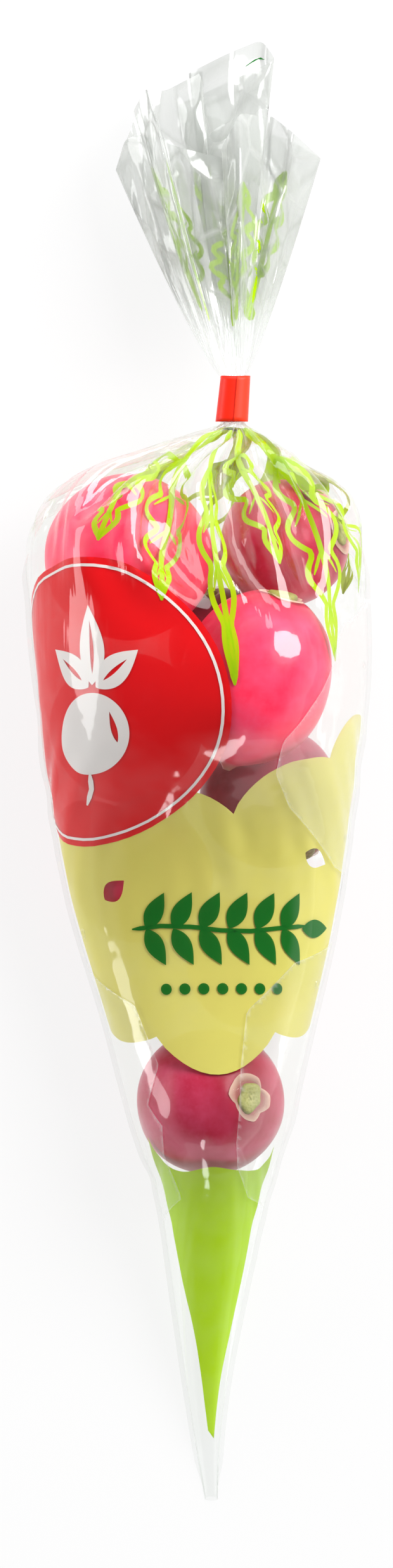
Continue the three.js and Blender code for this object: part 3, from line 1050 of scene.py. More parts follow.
# Heights of the lobes as shares of their widths
PANEL_TOP_LOBES = [0.2, 0.2, 0.2, 0.2]
PANEL_BOTTOM_LOBES = [0.12, 0.32, 0.12]
PANEL_MARGIN = 1.5  # bare film between the panel and the weld
# Clear leaf shapes in the panel: (x, s, heading in degrees, length)
PANEL_WINDOWS = [(-28, 169, 40, 8), (28, 182, -25, 8)]
# Radish drawn on the disc: its bulb from the disc's middle, and its leaves as (heading in degrees, length)
BULB_OFFSET = (2, -7)
BULB_RADIUS = 11.5
BULB_LEAVES = [(38, 16), (90, 21), (142, 16)]
BULB_LEAF_WIDTH = 8
BULB_LEAF_SLIT = 1.2  # width of the bare rib in such a leaf
BULB_ROOT = [(0, -11), (0.6, -16), (-0.8, -21)]
BULB_ROOT_WIDTH = 1.6
# Sprig drawn on the panel
SPRIG_MIDDLE = (4, 161)
SPRIG_STEM = 1.2
SPRIG_LEAVES = 6
SPRIG_LEAF_SPACING = 7.4
SPRIG_LEAF_HEADING = 62
SPRIG_LEAF_LENGTH, SPRIG_LEAF_WIDTH = 11, 5
SPRIG_BUDS = 7
SPRIG_BUD_SPACING = 5
SPRIG_BUD_RADIUS = 1.5
# Edges of the coloured point: from its left horn down to its tip, up to its right horn, and along the hollow
# edge between the horns
POINT_LEFT = [(-22, 105), (-18, 92), (-13.3, 78), (-8.5, 62), (-4.2, 48), (-1.5, 34), (0.5, 17)]
POINT_RIGHT = [(2, 17), (4.5, 34), (7.7, 48), (10.8, 62), (13.7, 78), (17.5, 90), (22, 102)]
POINT_TOP = [(22, 102), (15, 95), (7, 94.5), (0, 95.5), (-8, 94), (-15, 97), (-22, 105)]
# Drawn leaves: (where the tip is, as a share of the half panel from its middle, length in millimetres,
# width as such a share)
NECK_LEAVES = [
    (-0.44, 46, 0.26),
    (-0.16, 62, 0.2),
    (0.1, 84, 0.12),
    (0.34, 52, 0.22),
    (0.6, 78, 0.2),
    (0.84, 60, 0.2),
    (1.35, 60, 0.22),
    (1.75, 66, 0.22),
    (2.2, 62, 0.22),
    (2.7, 44, 0.22),
]
MOUTH_LEAVES = [
    (-0.66, 34, 0.26),
    (-0.3, 36, 0.26),
    (0.1, 28, 0.3),
    (0.48, 30, 0.3),
    (0.8, 36, 0.24),
    (1.7, 32, 0.3),
]
LEAF_SWAY = 0.015
LEAF_LOBES = 4
LEAF_STALK = 0.25  # share of a leaf's length that is bare stalk
VEIN_SHARE = 0.6  # width of a side vein as a share of a drawn line's
VEIN_REACH = 0.7  # how far a side vein runs from the rib to the leaf's edge
LEAVES_BELOW_TAPE, LEAVES_ABOVE_TAPE = 8, 20  # millimetres from the tape's middle to where leaves start
INK_SPACING = 1.1


class FilmSurface:
    """The settled film as the flat bag that it was printed on."""

    def __init__(self):
        piece = bpy.data.objects[FILM_PIECE]
        places = np.empty(len(piece.data.vertices) * 3, np.float32)
        piece.data.vertices.foreach_get("co", places)
        self.sides = piece["sides"]
        self.grid = places.reshape(piece["rows"], self.sides, 3).astype(float) / MM
        along = np.gradient(self.grid, axis=0)
        round_film = np.roll(self.grid, -1, axis=1) - np.roll(self.grid, 1, axis=1)
        out = np.cross(round_film, along)
        self.out = -out / np.maximum(np.linalg.norm(out, axis=2, keepdims=True), 1e-9)
        front = self.grid[:, self.sides // 4]
        self.from_tip = np.r_[0, np.cumsum(np.linalg.norm(np.diff(front, axis=0), axis=1))]
        upper = self.grid[:, : self.sides // 2 + 1]
        self.half_width = np.linalg.norm(np.diff(upper, axis=1), axis=2).sum(1) / 2

    def half_width_at(self, s):
        """Half of the front panel's width at a distance from the tip."""
        return np.interp(s, self.from_tip, self.half_width)

    def places(self, flat, depth):
        """Where points of the flat bag lie, that far under the film's outer face."""
        x, s = np.asarray(flat, float).T
        row = np.interp(s, self.from_tip, np.arange(len(self.from_tip)))
        side = self.sides / 4 * (1 - x / self.half_width_at(s)) % self.sides
        top, left = np.floor(row).astype(int), np.floor(side).astype(int)
        below, right = np.minimum(top + 1, len(self.grid) - 1), (left + 1) % self.sides
        left = left % self.sides
        down, over = (row - top)[:, None], (side - np.floor(side))[:, None]

        def between(values):
            upper = values[top, left] * (1 - over) + values[top, right] * over
            lower = values[below, left] * (1 - over) + values[below, right] * over
            return upper * (1 - down) + lower * down

        return between(self.grid) - depth * between(self.out)


def inside_loops(points, loops):
    """Which points lie inside an odd number of the loops."""
    crossings = np.zeros(len(points), int)
    x, y = points.T
    for loop in loops:
        for (x0, y0), (x1, y1) in zip(loop, np.roll(loop, -1, axis=0)):
            spans = (y0 > y) != (y1 > y)
            if y1 != y0:
                crossings += spans & (x < x0 + (y - y0) * (x1 - x0) / (y1 - y0))
    return crossings % 2 == 1


def filled(*loops):
    """Points and triangles that fill loops. A loop inside another is a hole."""
    loops = [np.asarray(loop, float) for loop in loops]
    outline = np.vstack(loops)
    edges, start = [], 0
    for loop in loops:
        edges += [(start + i, start + (i + 1) % len(loop)) for i in range(len(loop))]
        start += len(loop)
    low, high = outline.min(0), outline.max(0)
    across = [np.arange(a + INK_SPACING / 2, b, INK_SPACING) for a, b in zip(low, high)]
    field = np.stack(np.meshgrid(*across), axis=-1).reshape(-1, 2)
    corners = [Vector(p) for p in np.vstack([outline, field[inside_loops(field, loops)]])]
    made = delaunay_2d_cdt(corners, edges, [], 0, 1e-6)
    points = np.array([tuple(p) for p in made[0]])
    faces = np.array(made[2])
    return points, faces[inside_loops(points[faces].mean(1), loops)]


def stroked(path, width):
    """Points and faces of a line of that width along a path, tapered at its ends."""
    path = np.asarray(path, float)
    reach = np.linalg.norm(np.diff(path, axis=0), axis=1).sum()
    path = evenly_spaced(path, max(4, int(reach / INK_SPACING)))
    way = np.gradient(path, axis=0)
    way /= np.maximum(np.linalg.norm(way, axis=1, keepdims=True), 1e-9)
    aside = np.stack([-way[:, 1], way[:, 0]], axis=1) * width / 2
    taper = np.minimum(1, 0.35 + np.minimum(np.arange(len(path)), np.arange(len(path))[::-1]) / 3)[:, None]
    points = np.stack([path - aside * taper, path + aside * taper], axis=1).reshape(-1, 2)
    return points, grid_faces(len(path), 2, wrap=False)


def circle(x, s, radius, count=72):
    """Points of a circle."""
    angles = np.linspace(0, 2 * math.pi, count, endpoint=False)
    return np.stack([x + radius * np.cos(angles), s + radius * np.sin(angles)], axis=1)


def blade(start, heading, reach, width, count=24):
    """Outline of a plain pointed leaf from its stalk end, along a heading in degrees."""
    along = np.linspace(0, 1, count)
    side = np.sin(math.pi * along**0.8) * width / 2
    way = np.array([math.cos(math.radians(heading)), math.sin(math.radians(heading))])
    square = np.array([-way[1], way[0]])
    middle = np.asarray(start) + along[:, None] * reach * way
    return np.vstack([middle + side[:, None] * square, (middle - side[:, None] * square)[-2:0:-1]])


def lobed(corners, heights):
    """Points along an edge of round lobes that meet at the corners and stand out to the left of the way
    along them."""
    share = np.linspace(0, 1, 14, endpoint=False)[:, None]
    points = []
    for start, end, height in zip(np.array(corners, float), np.array(corners[1:], float), heights):
        way = end - start
        points.append(start + share * way + height * np.sin(math.pi * share) ** 0.8 * (-way[1], way[0]))
    return np.vstack([*points, corners[-1:]])


def printed_ink(name, ink, cover, thinness):
    """Flexographic ink printed on the back of the film: flat, even and glossy only by its film. Its thinness
    is the share of it that glows with the light from behind."""
    material, tree = new_material(name)
    place = add_node(tree, "ShaderNodeTexCoord").outputs["Object"]
    # Uneven ink lay-down, drawn at 6 mm so that it shows
    cloud = add_node(tree, "ShaderNodeTexNoise", {"Vector": place, "Scale": 1 / (6 * MM), "Detail": 3.0})
    lay = add_node(
        tree,
        "ShaderNodeMapRange",
        {
            "Value": cloud.outputs["Fac"],
            "From Min": 0.3,
            "From Max": 0.7,
            "To Min": cover - 0.03,
            "To Max": cover,
        },
    )
    front_lit = add_node(tree, "ShaderNodeBsdfDiffuse", {"Color": ink})
    back_lit = add_node(tree, "ShaderNodeBsdfTranslucent", {"Color": ink})
    pigment = add_node(
        tree, "ShaderNodeMixShader", {0: thinness, 1: front_lit.outputs[0], 2: back_lit.outputs[0]}
    )
    clear = add_node(tree, "ShaderNodeBsdfTransparent", {"Color": (1, 1, 1, 1)})
    surface = add_node(
        tree, "ShaderNodeMixShader", {0: lay.outputs["Result"], 1: clear.outputs[0], 2: pigment.outputs[0]}
    )
    add_node(tree, "ShaderNodeOutputMaterial", {"Surface": surface.outputs[0]})
    return material


class RADISHES_OT_printing(bpy.types.Operator):
    """Prints the disc, the panel, the point, the leaves and the cutting mark on the settled film"""

    bl_idname = "radishes.printing"
    bl_label = "Printing"

    def execute(self, context):
        settings = context.scene.radish_bag_printing
        film = FilmSurface()
        red = printed_ink("red_flexographic_ink", settings.red, cover=0.985, thinness=0.1)
        white = printed_ink("white_flexographic_ink", settings.white, cover=0.98, thinness=0.1)
        yellow = printed_ink("yellow_flexographic_ink", settings.yellow, cover=0.985, thinness=0.1)
        lime = printed_ink("lime_flexographic_ink", settings.lime, cover=0.985, thinness=0.3)
        green = printed_ink("dark_green_flexographic_ink", settings.dark_green, cover=0.98, thinness=0.1)
        disc = [filled(circle(*DISC_MIDDLE, DISC_RADIUS))]
        leaves = self.leaves(film, settings.line / MM, settings.brush / MM)
        for name, drawings, ink, slot, layer in (
            ("print_red_disc", disc, red, "red_ink", 2),
            ("print_white_radish", self.radish_drawing(), white, "white_ink", 1),
            ("print_yellow_panel", [self.panel(film)], yellow, "yellow_ink", 2.5),
            ("print_green_sprig", self.sprig(), green, "green_ink", 1),
            ("print_lime_point", [self.point()], lime, "lime_ink", 2),
            ("print_lime_leaves", leaves, lime, "lime_ink", 1),
            ("print_cutting_mark", self.cutting_mark(film), green, "green_ink", 1),
        ):
            # Layer 1 of the ink is next to the film, and higher ones lie under it.
            points, faces = joined(drawings)
            add_piece(name, film.places(points, settings.depth / MM * layer) * MM, faces, ink)
        return {"FINISHED"}

    def radish_drawing(self):
        """Keyline of the disc, and a plain radish with three leaves."""
        x, s = DISC_MIDDLE
        keyline = filled(*(circle(x, s, radius) for radius in KEYLINE_RADII))
        bulb_x, bulb_s = x + BULB_OFFSET[0], s + BULB_OFFSET[1]
        bulb = circle(bulb_x, bulb_s, BULB_RADIUS)
        shine = blade((bulb_x + 8.2, bulb_s - 2), 108, 9, 1.8)
        root = [(bulb_x + across, bulb_s + up) for across, up in BULB_ROOT]
        drawings = [keyline, filled(bulb, shine), stroked(root, BULB_ROOT_WIDTH)]
        for heading, reach in BULB_LEAVES:
            way = np.array([math.cos(math.radians(heading)), math.sin(math.radians(heading))])
            start = np.array((bulb_x, bulb_s + 12)) + 1.5 * way
            slit = blade(start + 3 * way, heading, reach - 7, BULB_LEAF_SLIT)
            drawings.append(filled(blade(start, heading, reach, BULB_LEAF_WIDTH), slit))
        return drawings

    def panel(self, film):
        """Panel across the front with lobed edges and clear leaf shapes in it."""

        def side(start, end, sign):
            return [(sign * (film.half_width_at(s) - PANEL_MARGIN), s) for s in np.linspace(start, end, 30)]

        left = side(PANEL_BOTTOM[-1][1], PANEL_TOP[0][1], -1)
        right = side(PANEL_TOP[-1][1], PANEL_BOTTOM[0][1], 1)
        top = lobed([left[-1], *PANEL_TOP[1:-1], right[0]], PANEL_TOP_LOBES)
        bottom = lobed([right[-1], *PANEL_BOTTOM[1:-1], left[0]], PANEL_BOTTOM_LOBES)
        windows = [blade((x, s), heading, reach, 0.7 * reach) for x, s, heading, reach in PANEL_WINDOWS]
        return filled(np.vstack([left[1:-1], top[:-1], right[:-1], bottom[:-1]]), *windows)

    def sprig(self):
        """A level stem with leaves in pairs, and a row of small buds under it."""
        x, s = SPRIG_MIDDLE
        stem = [(x - 24 + 8 * i, s + 0.8 * math.sin(1.3 * i)) for i in range(7)]
        drawings = [stroked(stem, SPRIG_STEM)]
        for i in range(SPRIG_LEAVES):
            start = (x - 20 + SPRIG_LEAF_SPACING * i, s)
            for heading in (SPRIG_LEAF_HEADING, -SPRIG_LEAF_HEADING):
                drawings.append(filled(blade(start, heading, SPRIG_LEAF_LENGTH, SPRIG_LEAF_WIDTH)))
        drawings.append(filled(blade((x + 23, s), 0, 10, SPRIG_LEAF_WIDTH)))
        for i in range(SPRIG_BUDS):
            drawings.append(filled(circle(x - 15 + SPRIG_BUD_SPACING * i, s - 16, SPRIG_BUD_RADIUS, 20)))
        return drawings

    def point(self):
        """The bag's point in one colour, with a hollow upper edge between two horns."""
        edges = [smooth_curve(edge, 40)[:-1] for edge in (POINT_LEFT, POINT_RIGHT, POINT_TOP)]
        return filled(np.vstack(edges))

    def leaves(self, film, line, brush):
        """Line drawings of lobed leaves that run down from the neck, and up from the tape to the mouth."""
        neck = film.from_tip[self.neck_row(film)]
        drawings = []
        for tip, reach, width in NECK_LEAVES:
            drawings += self.leaf(film, tip, neck - LEAVES_BELOW_TAPE, -reach, width, line)
        for tip, reach, width in MOUTH_LEAVES:
            drawings += self.leaf(film, tip, neck + LEAVES_ABOVE_TAPE, reach, width, brush)
        return drawings

    def neck_row(self, film):
        """The row of film under the tape."""
        tape = (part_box("neck_tape")[0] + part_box("neck_tape")[1]) / 2 / MM
        return int(abs(film.grid[:, film.sides // 4, 1] - tape.y).argmin())

    def leaf(self, film, tip, start, reach, width, line):
        """A leaf drawn by its lobed outline, its middle rib and side veins. Its sizes across are shares of
        the half panel."""
        t = np.linspace(0, 1, 48)
        s = start + reach * t
        half = film.half_width_at(s)
        middle = tip * (0.75 + 0.25 * t) + LEAF_SWAY * np.sin(2 * math.pi * t + 7 * tip)
        blade_share = np.clip((t - LEAF_STALK) / (1 - LEAF_STALK), 0, 1)
        swell = np.sin(math.pi * blade_share**0.7)
        side = width / 2 * swell * (0.35 + 0.65 * abs(np.sin(LEAF_LOBES * math.pi * blade_share)))
        rib = np.stack([middle * half, s], axis=1)
        drawings = [stroked(rib, line)]
        for sign in (1, -1):
            edge = np.stack([(middle + sign * side) * half, s], axis=1)
            drawings.append(stroked(edge[int(LEAF_STALK * len(t)) :], line))
            for lobe in range(LEAF_LOBES):
                at = int(np.interp((lobe + 0.5) / LEAF_LOBES, blade_share, np.arange(len(t))))
                vein = [rib[at - 4], rib[at] + VEIN_REACH * (edge[at] - rib[at])]
                drawings.append(stroked(vein, VEIN_SHARE * line))
        return drawings

    def cutting_mark(self, film):
        """Short dark mark at the peak of the back panel."""
        top = film.from_tip[-1]
        half = film.half_width_at(top)
        return [stroked([(2.022 * half, top - 3.6), (1.98 * half, top - 2.4)], 0.7)]


# Welds and air holes


class WeldSettings(bpy.types.PropertyGroup):
    """Side welds, tucks and air holes of the bag."""

    width: length("Weld width", "How far a weld stands out of the side of the bag", 1.2)
    ripple: length("Ripple", "How far a weld waves up and down", 0.22)
    tuck_height: length("Tuck height", "How far a tuck lies over the film", 0.35)
    hole: length("Hole", "Radius of an air hole", 1.0)


WELD_ROUNDS = 6  # points across a weld
WELD_LAP = 0.2  # how far a weld reaches in over the bag, as a share of its width
WELD_RIPPLE_LENGTH = 8  # millimetres
WELD_SWELL_LENGTH = 2.7 * WELD_RIPPLE_LENGTH  # of the slower waves among the ripples
WELD_SWELL = 0.6  # height of those waves, next to the ripples'
WELD_STARTS, WELD_ENDS = 2, 268  # millimetres from the bag's tip
WELD_FADE = 8  # millimetres over which a weld narrows to its ends
WELD_MILKINESS = 0.2
# Tucks: slack film that lies flat on the front panel, from a free edge to the weld. These are the corners of
# their free edges.
RIGHT_UPPER_TUCK = [
    (90, 262),
    (43, 247),
    (36, 236),
    (30.6, 228),
    (20.3, 216.6),
    (18.7, 207),
    (23, 196),
    (38, 178),
    (90, 160),
]
RIGHT_LOWER_TUCK = [
    (90, 172),
    (24, 152),
    (10, 139),
    (8, 124),
    (7.5, 117),
    (6.4, 104),
    (6.8, 95.6),
    (10, 86),
    (60, 66),
]
LEFT_LOWER_TUCK = [
    (-90, 176),
    (-20, 141),
    (-13.8, 124.8),
    (-18.6, 114.3),
    (-13.4, 108.8),
    (-13.8, 99.8),
    (-8.2, 86),
    (-40, 60),
]
# Which side each tuck's weld is on, how milky the tuck is, and its edge
TUCKS = [(1, 0.32, RIGHT_UPPER_TUCK), (1, 0.18, RIGHT_LOWER_TUCK), (-1, 0.18, LEFT_LOWER_TUCK)]
TUCK_EDGE_MILKINESS = 0.6
TUCK_MARGIN = 0.5  # millimetres between a tuck and the weld
# Air holes on the flat front panel: (share of its half width from its middle, millimetres from the tip)
AIR_HOLES = [(0.88, 186), (-0.9, 204), (0.84, 146), (-0.86, 160), (0.9, 236)]
HOLE_SIDES = 28
# Section of a hole's rim: (radius as a share of the hole's, height over the film in millimetres)
HOLE_RIM = [(0.8, -0.05), (0.85, 0.18), (1.0, 0.26), (1.18, 0.16), (1.3, -0.05)]


class RADISHES_OT_welds(bpy.types.Operator):
    """Makes the rippled side welds of the bag, the tucks beside them and the rims of its punched air holes"""

    bl_idname = "radishes.welds"
    bl_label = "Welds, tucks and air holes"

    def execute(self, context):
        settings = context.scene.radish_bag_welds
        film = FilmSurface()
        material = bpy.data.objects[FILM_PIECE].data.materials[0]
        self.add_film_trim("right_side_weld", *self.weld(settings, film, 0, 1), material)
        self.add_film_trim("left_side_weld", *self.weld(settings, film, film.sides // 2, -1), material)
        holes = joined([self.hole(settings, film, *at) for at in AIR_HOLES])
        self.add_film_trim("air_hole_rims", *holes, material)
        for number, (side, milkiness, edge) in enumerate(TUCKS, start=1):
            points, faces, milky = self.tuck(film, side, milkiness, edge)
            places = film.places(points, -settings.tuck_height / MM)
            self.add_film_trim(f"film_tuck_{number}", places, faces, material, milky)
        return {"FINISHED"}

    def add_film_trim(self, name, points, faces, material, milky=WELD_MILKINESS):
        """A milky piece of the bag's own film."""
        piece = add_piece(name, points * MM, faces, material)
        add_values(piece, "crease", np.broadcast_to(milky, len(points)))

    def tuck(self, film, side, milkiness, edge):
        """Flat points and faces of a tuck, and how milky each point is: most along its free edge."""
        edge = evenly_spaced(np.array(edge, float), 120)
        edge = edge[abs(edge[:, 0]) < film.half_width_at(edge[:, 1]) - TUCK_MARGIN]
        s = np.linspace(edge[-1, 1], edge[0, 1], 60)
        weld = np.stack([side * (film.half_width_at(s) - TUCK_MARGIN), s], axis=1)
        points, faces = filled(np.vstack([edge, weld]))
        from_edge = np.linalg.norm(points[:, None] - edge, axis=2).min(1)
        return points, faces, np.where(from_edge < INK_SPACING / 2, TUCK_EDGE_MILKINESS, milkiness)

    def weld(self, settings, film, column, side):
        """A thin strip along one side of the bag, which waves up and down at its free edge."""
        rows = np.flatnonzero((film.from_tip > WELD_STARTS) & (film.from_tip < WELD_ENDS))
        edge = film.grid[rows, column]
        s = film.from_tip[rows]
        out = np.array([side, 0.0, 0.0])
        share = np.linspace(-WELD_LAP, 1, WELD_ROUNDS)[None, :, None]
        ripples = np.sin(2 * math.pi * s / WELD_RIPPLE_LENGTH)
        wave = ripples + WELD_SWELL * np.sin(2 * math.pi * s / WELD_SWELL_LENGTH)
        ends = np.clip(np.minimum(s - WELD_STARTS, WELD_ENDS - s) / WELD_FADE, 0, 1)[:, None, None]
        strip = edge[:, None] + out * share * ends * settings.width / MM
        strip[..., 2] += (settings.ripple / MM * wave)[:, None] * np.clip(share[..., 0], 0, 1)
        return strip.reshape(-1, 3), grid_faces(len(rows), WELD_ROUNDS, wrap=False)

    def hole(self, settings, film, across, s):
        """The raised rim round a punched hole."""
        x = across * film.half_width_at(s)
        rings = []
        for share, height in HOLE_RIM:
            ring = circle(x, s, share * settings.hole / MM, HOLE_SIDES)
            rings.append(film.places(ring, -height))
        return np.vstack(rings), grid_faces(len(HOLE_RIM), HOLE_SIDES)


# Tape


class TapeSettings(bpy.types.PropertyGroup):
    """Tape round the neck."""

    red: colour("Red", "Colour of one layer of tape over the film", "#E2230A")
    red_double: colour("Double red", "Colour of two layers of tape", "#EE3516")
    thickness: length("Thickness", "Thickness of the tape", 0.3)
    overlap: share("Overlap", "Turns by which the tape laps over its own start", 0.32)


TAPE_END = 84  # degrees round the neck, from its right side over the front, where the tape's outer end lies
TAPE_CLIMB = 0.03  # turns in which the tape climbs over its own start
TAPE_BODY = 0.9  # thickness drawn for a layer, as a share of the tape's, so that layers don't touch
TAPE_STEPS = 200
TAPE_ROWS = 12
TAPE_LEAN = 0.5  # millimetres that the band leans to the right at its upper edge
TAPE_TAPER = 0.045  # how much narrower the band is at its upper edge, and wider at its lower one
TAPE_SQUARENESS = 0.85
TAPE_WAVE = 0.06


def glossy_red_tape(settings):
    """Red polypropylene packing tape: smooth and glossy, a little see-through, so brighter where it lies
    double."""
    material, tree = new_material("glossy_red_polypropylene_tape")
    place = add_node(tree, "ShaderNodeTexCoord").outputs["Object"]
    double = add_node(tree, "ShaderNodeAttribute", attribute_name="double").outputs["Fac"]
    # Stretch marks along the tape: 0.8 mm apart across it and far longer along it
    stretched = add_node(tree, "ShaderNodeMapping", {"Vector": place, "Scale": (0.1, 1.0, 0.1)})
    marks = add_node(
        tree,
        "ShaderNodeTexNoise",
        {"Vector": stretched.outputs["Vector"], "Scale": 1 / (0.8 * MM), "Detail": 2.0},
    )
    pigment = add_node(
        tree,
        "ShaderNodeMix",
        {"Factor": double, "A": settings.red, "B": settings.red_double},
        data_type="RGBA",
    )
    rough = add_node(
        tree, "ShaderNodeMapRange", {"Value": marks.outputs["Fac"], "To Min": 0.38, "To Max": 0.5}
    )
    bump = add_node(
        tree, "ShaderNodeBump", {"Height": marks.outputs["Fac"], "Strength": 0.05, "Distance": 0.1 * MM}
    )
    shader = add_node(
        tree,
        "ShaderNodeBsdfPrincipled",
        {
            "Base Color": pigment.outputs["Result"],
            "Roughness": rough.outputs["Result"],
            "IOR": 1.49,
            "Specular IOR Level": 0.3,
            "Normal": bump.outputs["Normal"],
        },
    )
    add_node(tree, "ShaderNodeOutputMaterial", {"Surface": shader.outputs[0]})
    return material


class RADISHES_OT_tape(bpy.types.Operator):
    """Makes the tape: a strip wound round the neck, with its outer end across the front"""

    bl_idname = "radishes.tape"
    bl_label = "Neck tape"

    def execute(self, context):
        settings = context.scene.radish_bag_tape
        low, high = (np.array(corner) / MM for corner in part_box("neck_tape"))
        middle, half = (low + high) / 2, (high - low) / 2
        turns = np.linspace(-settings.overlap, 1, TAPE_STEPS)
        angle = 2 * math.pi * turns + math.radians(TAPE_END)
        # The strip climbs over its own start just before it has gone all round.
        double = np.clip((turns + settings.overlap - 1 + TAPE_CLIMB) / TAPE_CLIMB, 0, 1)
        thickness = settings.thickness / MM
        across = np.linspace(-1, 1, TAPE_ROWS)[:, None]
        outer = self.layer(middle, half, angle, across, thickness * (double - 1))
        inner = self.layer(middle, half, angle, across, thickness * (double - 1 - TAPE_BODY))
        grid = np.concatenate([outer, inner[::-1]])
        points = grid.transpose(1, 0, 2)
        rounds = len(grid)
        faces = [tuple(face) for face in grid_faces(TAPE_STEPS, rounds)]
        last = (TAPE_STEPS - 1) * rounds
        for row in range(TAPE_ROWS - 1):
            corners = (row, row + 1, rounds - 2 - row, rounds - 1 - row)
            faces.append(corners)
            faces.append(tuple(last + corner for corner in reversed(corners)))
        material = glossy_red_tape(settings)
        piece = add_piece("neck_tape_band", points.reshape(-1, 3) * MM, faces, material)
        add_values(piece, "double", np.repeat(double, rounds))
        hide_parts("neck_tape")
        return {"FINISHED"}

    def layer(self, middle, half, angle, across, offset):
        """One face of the strip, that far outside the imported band."""
        size = 1 - TAPE_TAPER * across
        wave = TAPE_WAVE * np.sin(3 * angle) * across
        x, z = np.cos(angle), np.sin(angle)
        squared_x = np.sign(x) * abs(x) ** TAPE_SQUARENESS
        squared_z = np.sign(z) * abs(z) ** TAPE_SQUARENESS
        return np.stack(
            [
                middle[0] + TAPE_LEAN * across + (half[0] * size + offset) * squared_x,
                middle[1] + half[1] * across + wave + 0 * x,
                middle[2] + (half[2] * size + offset) * squared_z,
            ],
            axis=2,
        )


# Stage


class StageSettings(bpy.types.PropertyGroup):
    """Floor, lights and camera."""

    floor: colour("Floor", "Colour of the floor", "#616161")
    floor_glow: share("Floor glow", "Light that the floor gives from below", 0.85, 5)
    camera_height: length("Camera height", "Height of the camera over the middle of the bag", 4000)


FLOOR_REACH = 6  # metres
# Soft lights: (name, place and size in metres, power in watts)
SOFTBOXES = [
    ("right_softbox", (0.75, 0.56, 0.81), (0.85, 0.85), 20),
    ("left_softbox", (-1.25, 0.1, 0.3), (1.4, 0.6), 9),
    ("top_softbox", (-0.1, 1.15, 0.65), (1.2, 0.6), 8),
    ("bottom_softbox", (0, -1.25, 0.22), (1.4, 0.4), 0.8),
    ("highlight_softbox", (-0.17, -1.15, 0.42), (0.1, 0.3), 0.6),
]


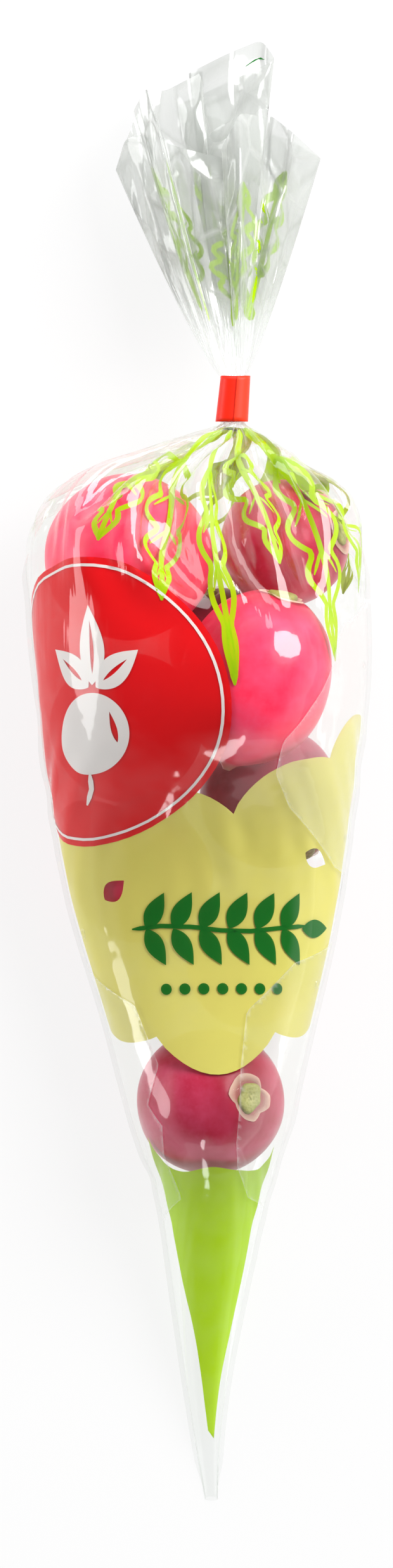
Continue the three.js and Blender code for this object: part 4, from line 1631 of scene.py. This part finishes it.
class RADISHES_OT_stage(bpy.types.Operator):
    """Makes the floor, the soft lights and the camera that looks straight down"""

    bl_idname = "radishes.stage"
    bl_label = "Stage"

    def execute(self, context):
        settings = context.scene.radish_bag_stage
        scene = context.scene
        mesh = bpy.data.meshes.new("floor")
        corners = [(FLOOR_REACH * x, FLOOR_REACH * y, 0) for x, y in ((-1, -1), (1, -1), (1, 1), (-1, 1))]
        mesh.from_pydata(corners, [], [(0, 1, 2, 3)])
        # Opal acrylic light table, lit from below: matt and evenly white, so that shadows stay faint
        material, tree = new_material("opal_acrylic_light_table")
        shader = add_node(
            tree,
            "ShaderNodeBsdfPrincipled",
            {
                "Base Color": settings.floor,
                "Roughness": 0.9,
                "Specular IOR Level": 0.0,
                "Emission Color": (1, 1, 1, 1),
                "Emission Strength": settings.floor_glow,
            },
        )
        add_node(tree, "ShaderNodeOutputMaterial", {"Surface": shader.outputs[0]})
        mesh.materials.append(material)
        floor = bpy.data.objects.new("floor", mesh)
        scene.collection.objects.link(floor)
        self.add_studio(scene)
        scene.view_settings.view_transform = "Standard"
        # Light passes every layer of the gathered film.
        scene.cycles.transparent_max_bounces = 48
        for softbox in SOFTBOXES:
            self.add_softbox(*softbox)
        self.add_camera(scene, settings)
        return {"FINISHED"}

    def add_studio(self, scene):
        """Pale studio walls, paler at the right, round a dark ceiling, so that only the softboxes mirror from
        above."""
        world = bpy.data.worlds.new("studio")
        world.use_nodes = True
        tree = world.node_tree
        tree.nodes.clear()
        direction = add_node(tree, "ShaderNodeTexCoord").outputs["Generated"]
        way = add_node(tree, "ShaderNodeSeparateXYZ", {"Vector": direction})
        wall = add_node(
            tree,
            "ShaderNodeMapRange",
            {"Value": way.outputs["Z"], "From Max": 0.6, "To Min": 1.4, "To Max": 0.12},
        )
        right = add_node(
            tree,
            "ShaderNodeMapRange",
            {"Value": way.outputs["X"], "From Min": -1.0, "To Min": 1.0, "To Max": 1.4},
        )
        light = add_node(
            tree,
            "ShaderNodeMath",
            {0: wall.outputs["Result"], 1: right.outputs["Result"]},
            operation="MULTIPLY",
        )
        background = add_node(tree, "ShaderNodeBackground", {"Strength": light.outputs[0]})
        add_node(tree, "ShaderNodeOutputWorld", {"Surface": background.outputs[0]})
        scene.world = world

    def add_softbox(self, name, place, size, power):
        """An oval soft light aimed at the middle of the bag."""
        light = bpy.data.lights.new(name, "AREA")
        light.shape = "ELLIPSE"
        light.size, light.size_y = size
        light.energy = power
        softbox = bpy.data.objects.new(name, light)
        softbox.location = place
        softbox.rotation_euler = (-Vector(place)).to_track_quat("-Z", "Y").to_euler()
        softbox.visible_camera = False
        bpy.context.scene.collection.objects.link(softbox)

    def add_camera(self, scene, settings):
        """A long lens over the bag, framed so that its middle falls where the photograph has it."""
        camera = bpy.data.cameras.new("camera")
        camera.sensor_width = 36
        framed_height = PHOTO_HEIGHT / PHOTO_PIXELS_PER_MM * MM
        camera.lens = camera.sensor_width * settings.camera_height / framed_height
        viewer = bpy.data.objects.new("camera", camera)
        middle_x, middle_y = PHOTO_OBJECT_MIDDLE
        viewer.location = (
            (PHOTO_WIDTH / 2 - middle_x) / PHOTO_PIXELS_PER_MM * MM,
            (middle_y - PHOTO_HEIGHT / 2) / PHOTO_PIXELS_PER_MM * MM,
            settings.camera_height + cad_high.z / 2,
        )
        scene.collection.objects.link(viewer)
        scene.camera = viewer


class RADISHES_PT_panel(bpy.types.Panel):
    """Lists the pieces of the bag"""

    bl_label = "Bag of radishes"
    bl_idname = "RADISHES_PT_panel"
    bl_space_type = "VIEW_3D"
    bl_region_type = "UI"
    bl_category = "Radishes"

    def draw(self, context):
        for operator in OPERATORS:
            self.layout.operator(operator.bl_idname)


OPERATORS = (
    RADISHES_OT_radishes,
    RADISHES_OT_crowns,
    RADISHES_OT_film,
    RADISHES_OT_printing,
    RADISHES_OT_welds,
    RADISHES_OT_tape,
    RADISHES_OT_stage,
)
SETTINGS = {
    "radish_bag_radishes": RadishSettings,
    "radish_bag_crowns": CrownSettings,
    "radish_bag_film": FilmSettings,
    "radish_bag_printing": PrintSettings,
    "radish_bag_welds": WeldSettings,
    "radish_bag_tape": TapeSettings,
    "radish_bag_stage": StageSettings,
}


def register():
    """Makes the settings, operators and panel known to Blender."""
    for kind in (*SETTINGS.values(), *OPERATORS, RADISHES_PT_panel):
        bpy.utils.register_class(kind)
    for name, kind in SETTINGS.items():
        setattr(bpy.types.Scene, name, bpy.props.PointerProperty(type=kind))


def unregister():
    """Takes them away again."""
    for name in SETTINGS:
        delattr(bpy.types.Scene, name)
    for kind in (RADISHES_PT_panel, *OPERATORS, *SETTINGS.values()):
        bpy.utils.unregister_class(kind)


def main():
    """Makes every piece and the stage."""
    register()
    bpy.ops.radishes.radishes()
    bpy.ops.radishes.crowns()
    bpy.ops.radishes.film()
    bpy.ops.radishes.printing()
    bpy.ops.radishes.welds()
    bpy.ops.radishes.tape()
    bpy.ops.radishes.stage()


if __name__ == "__main__":
    main()
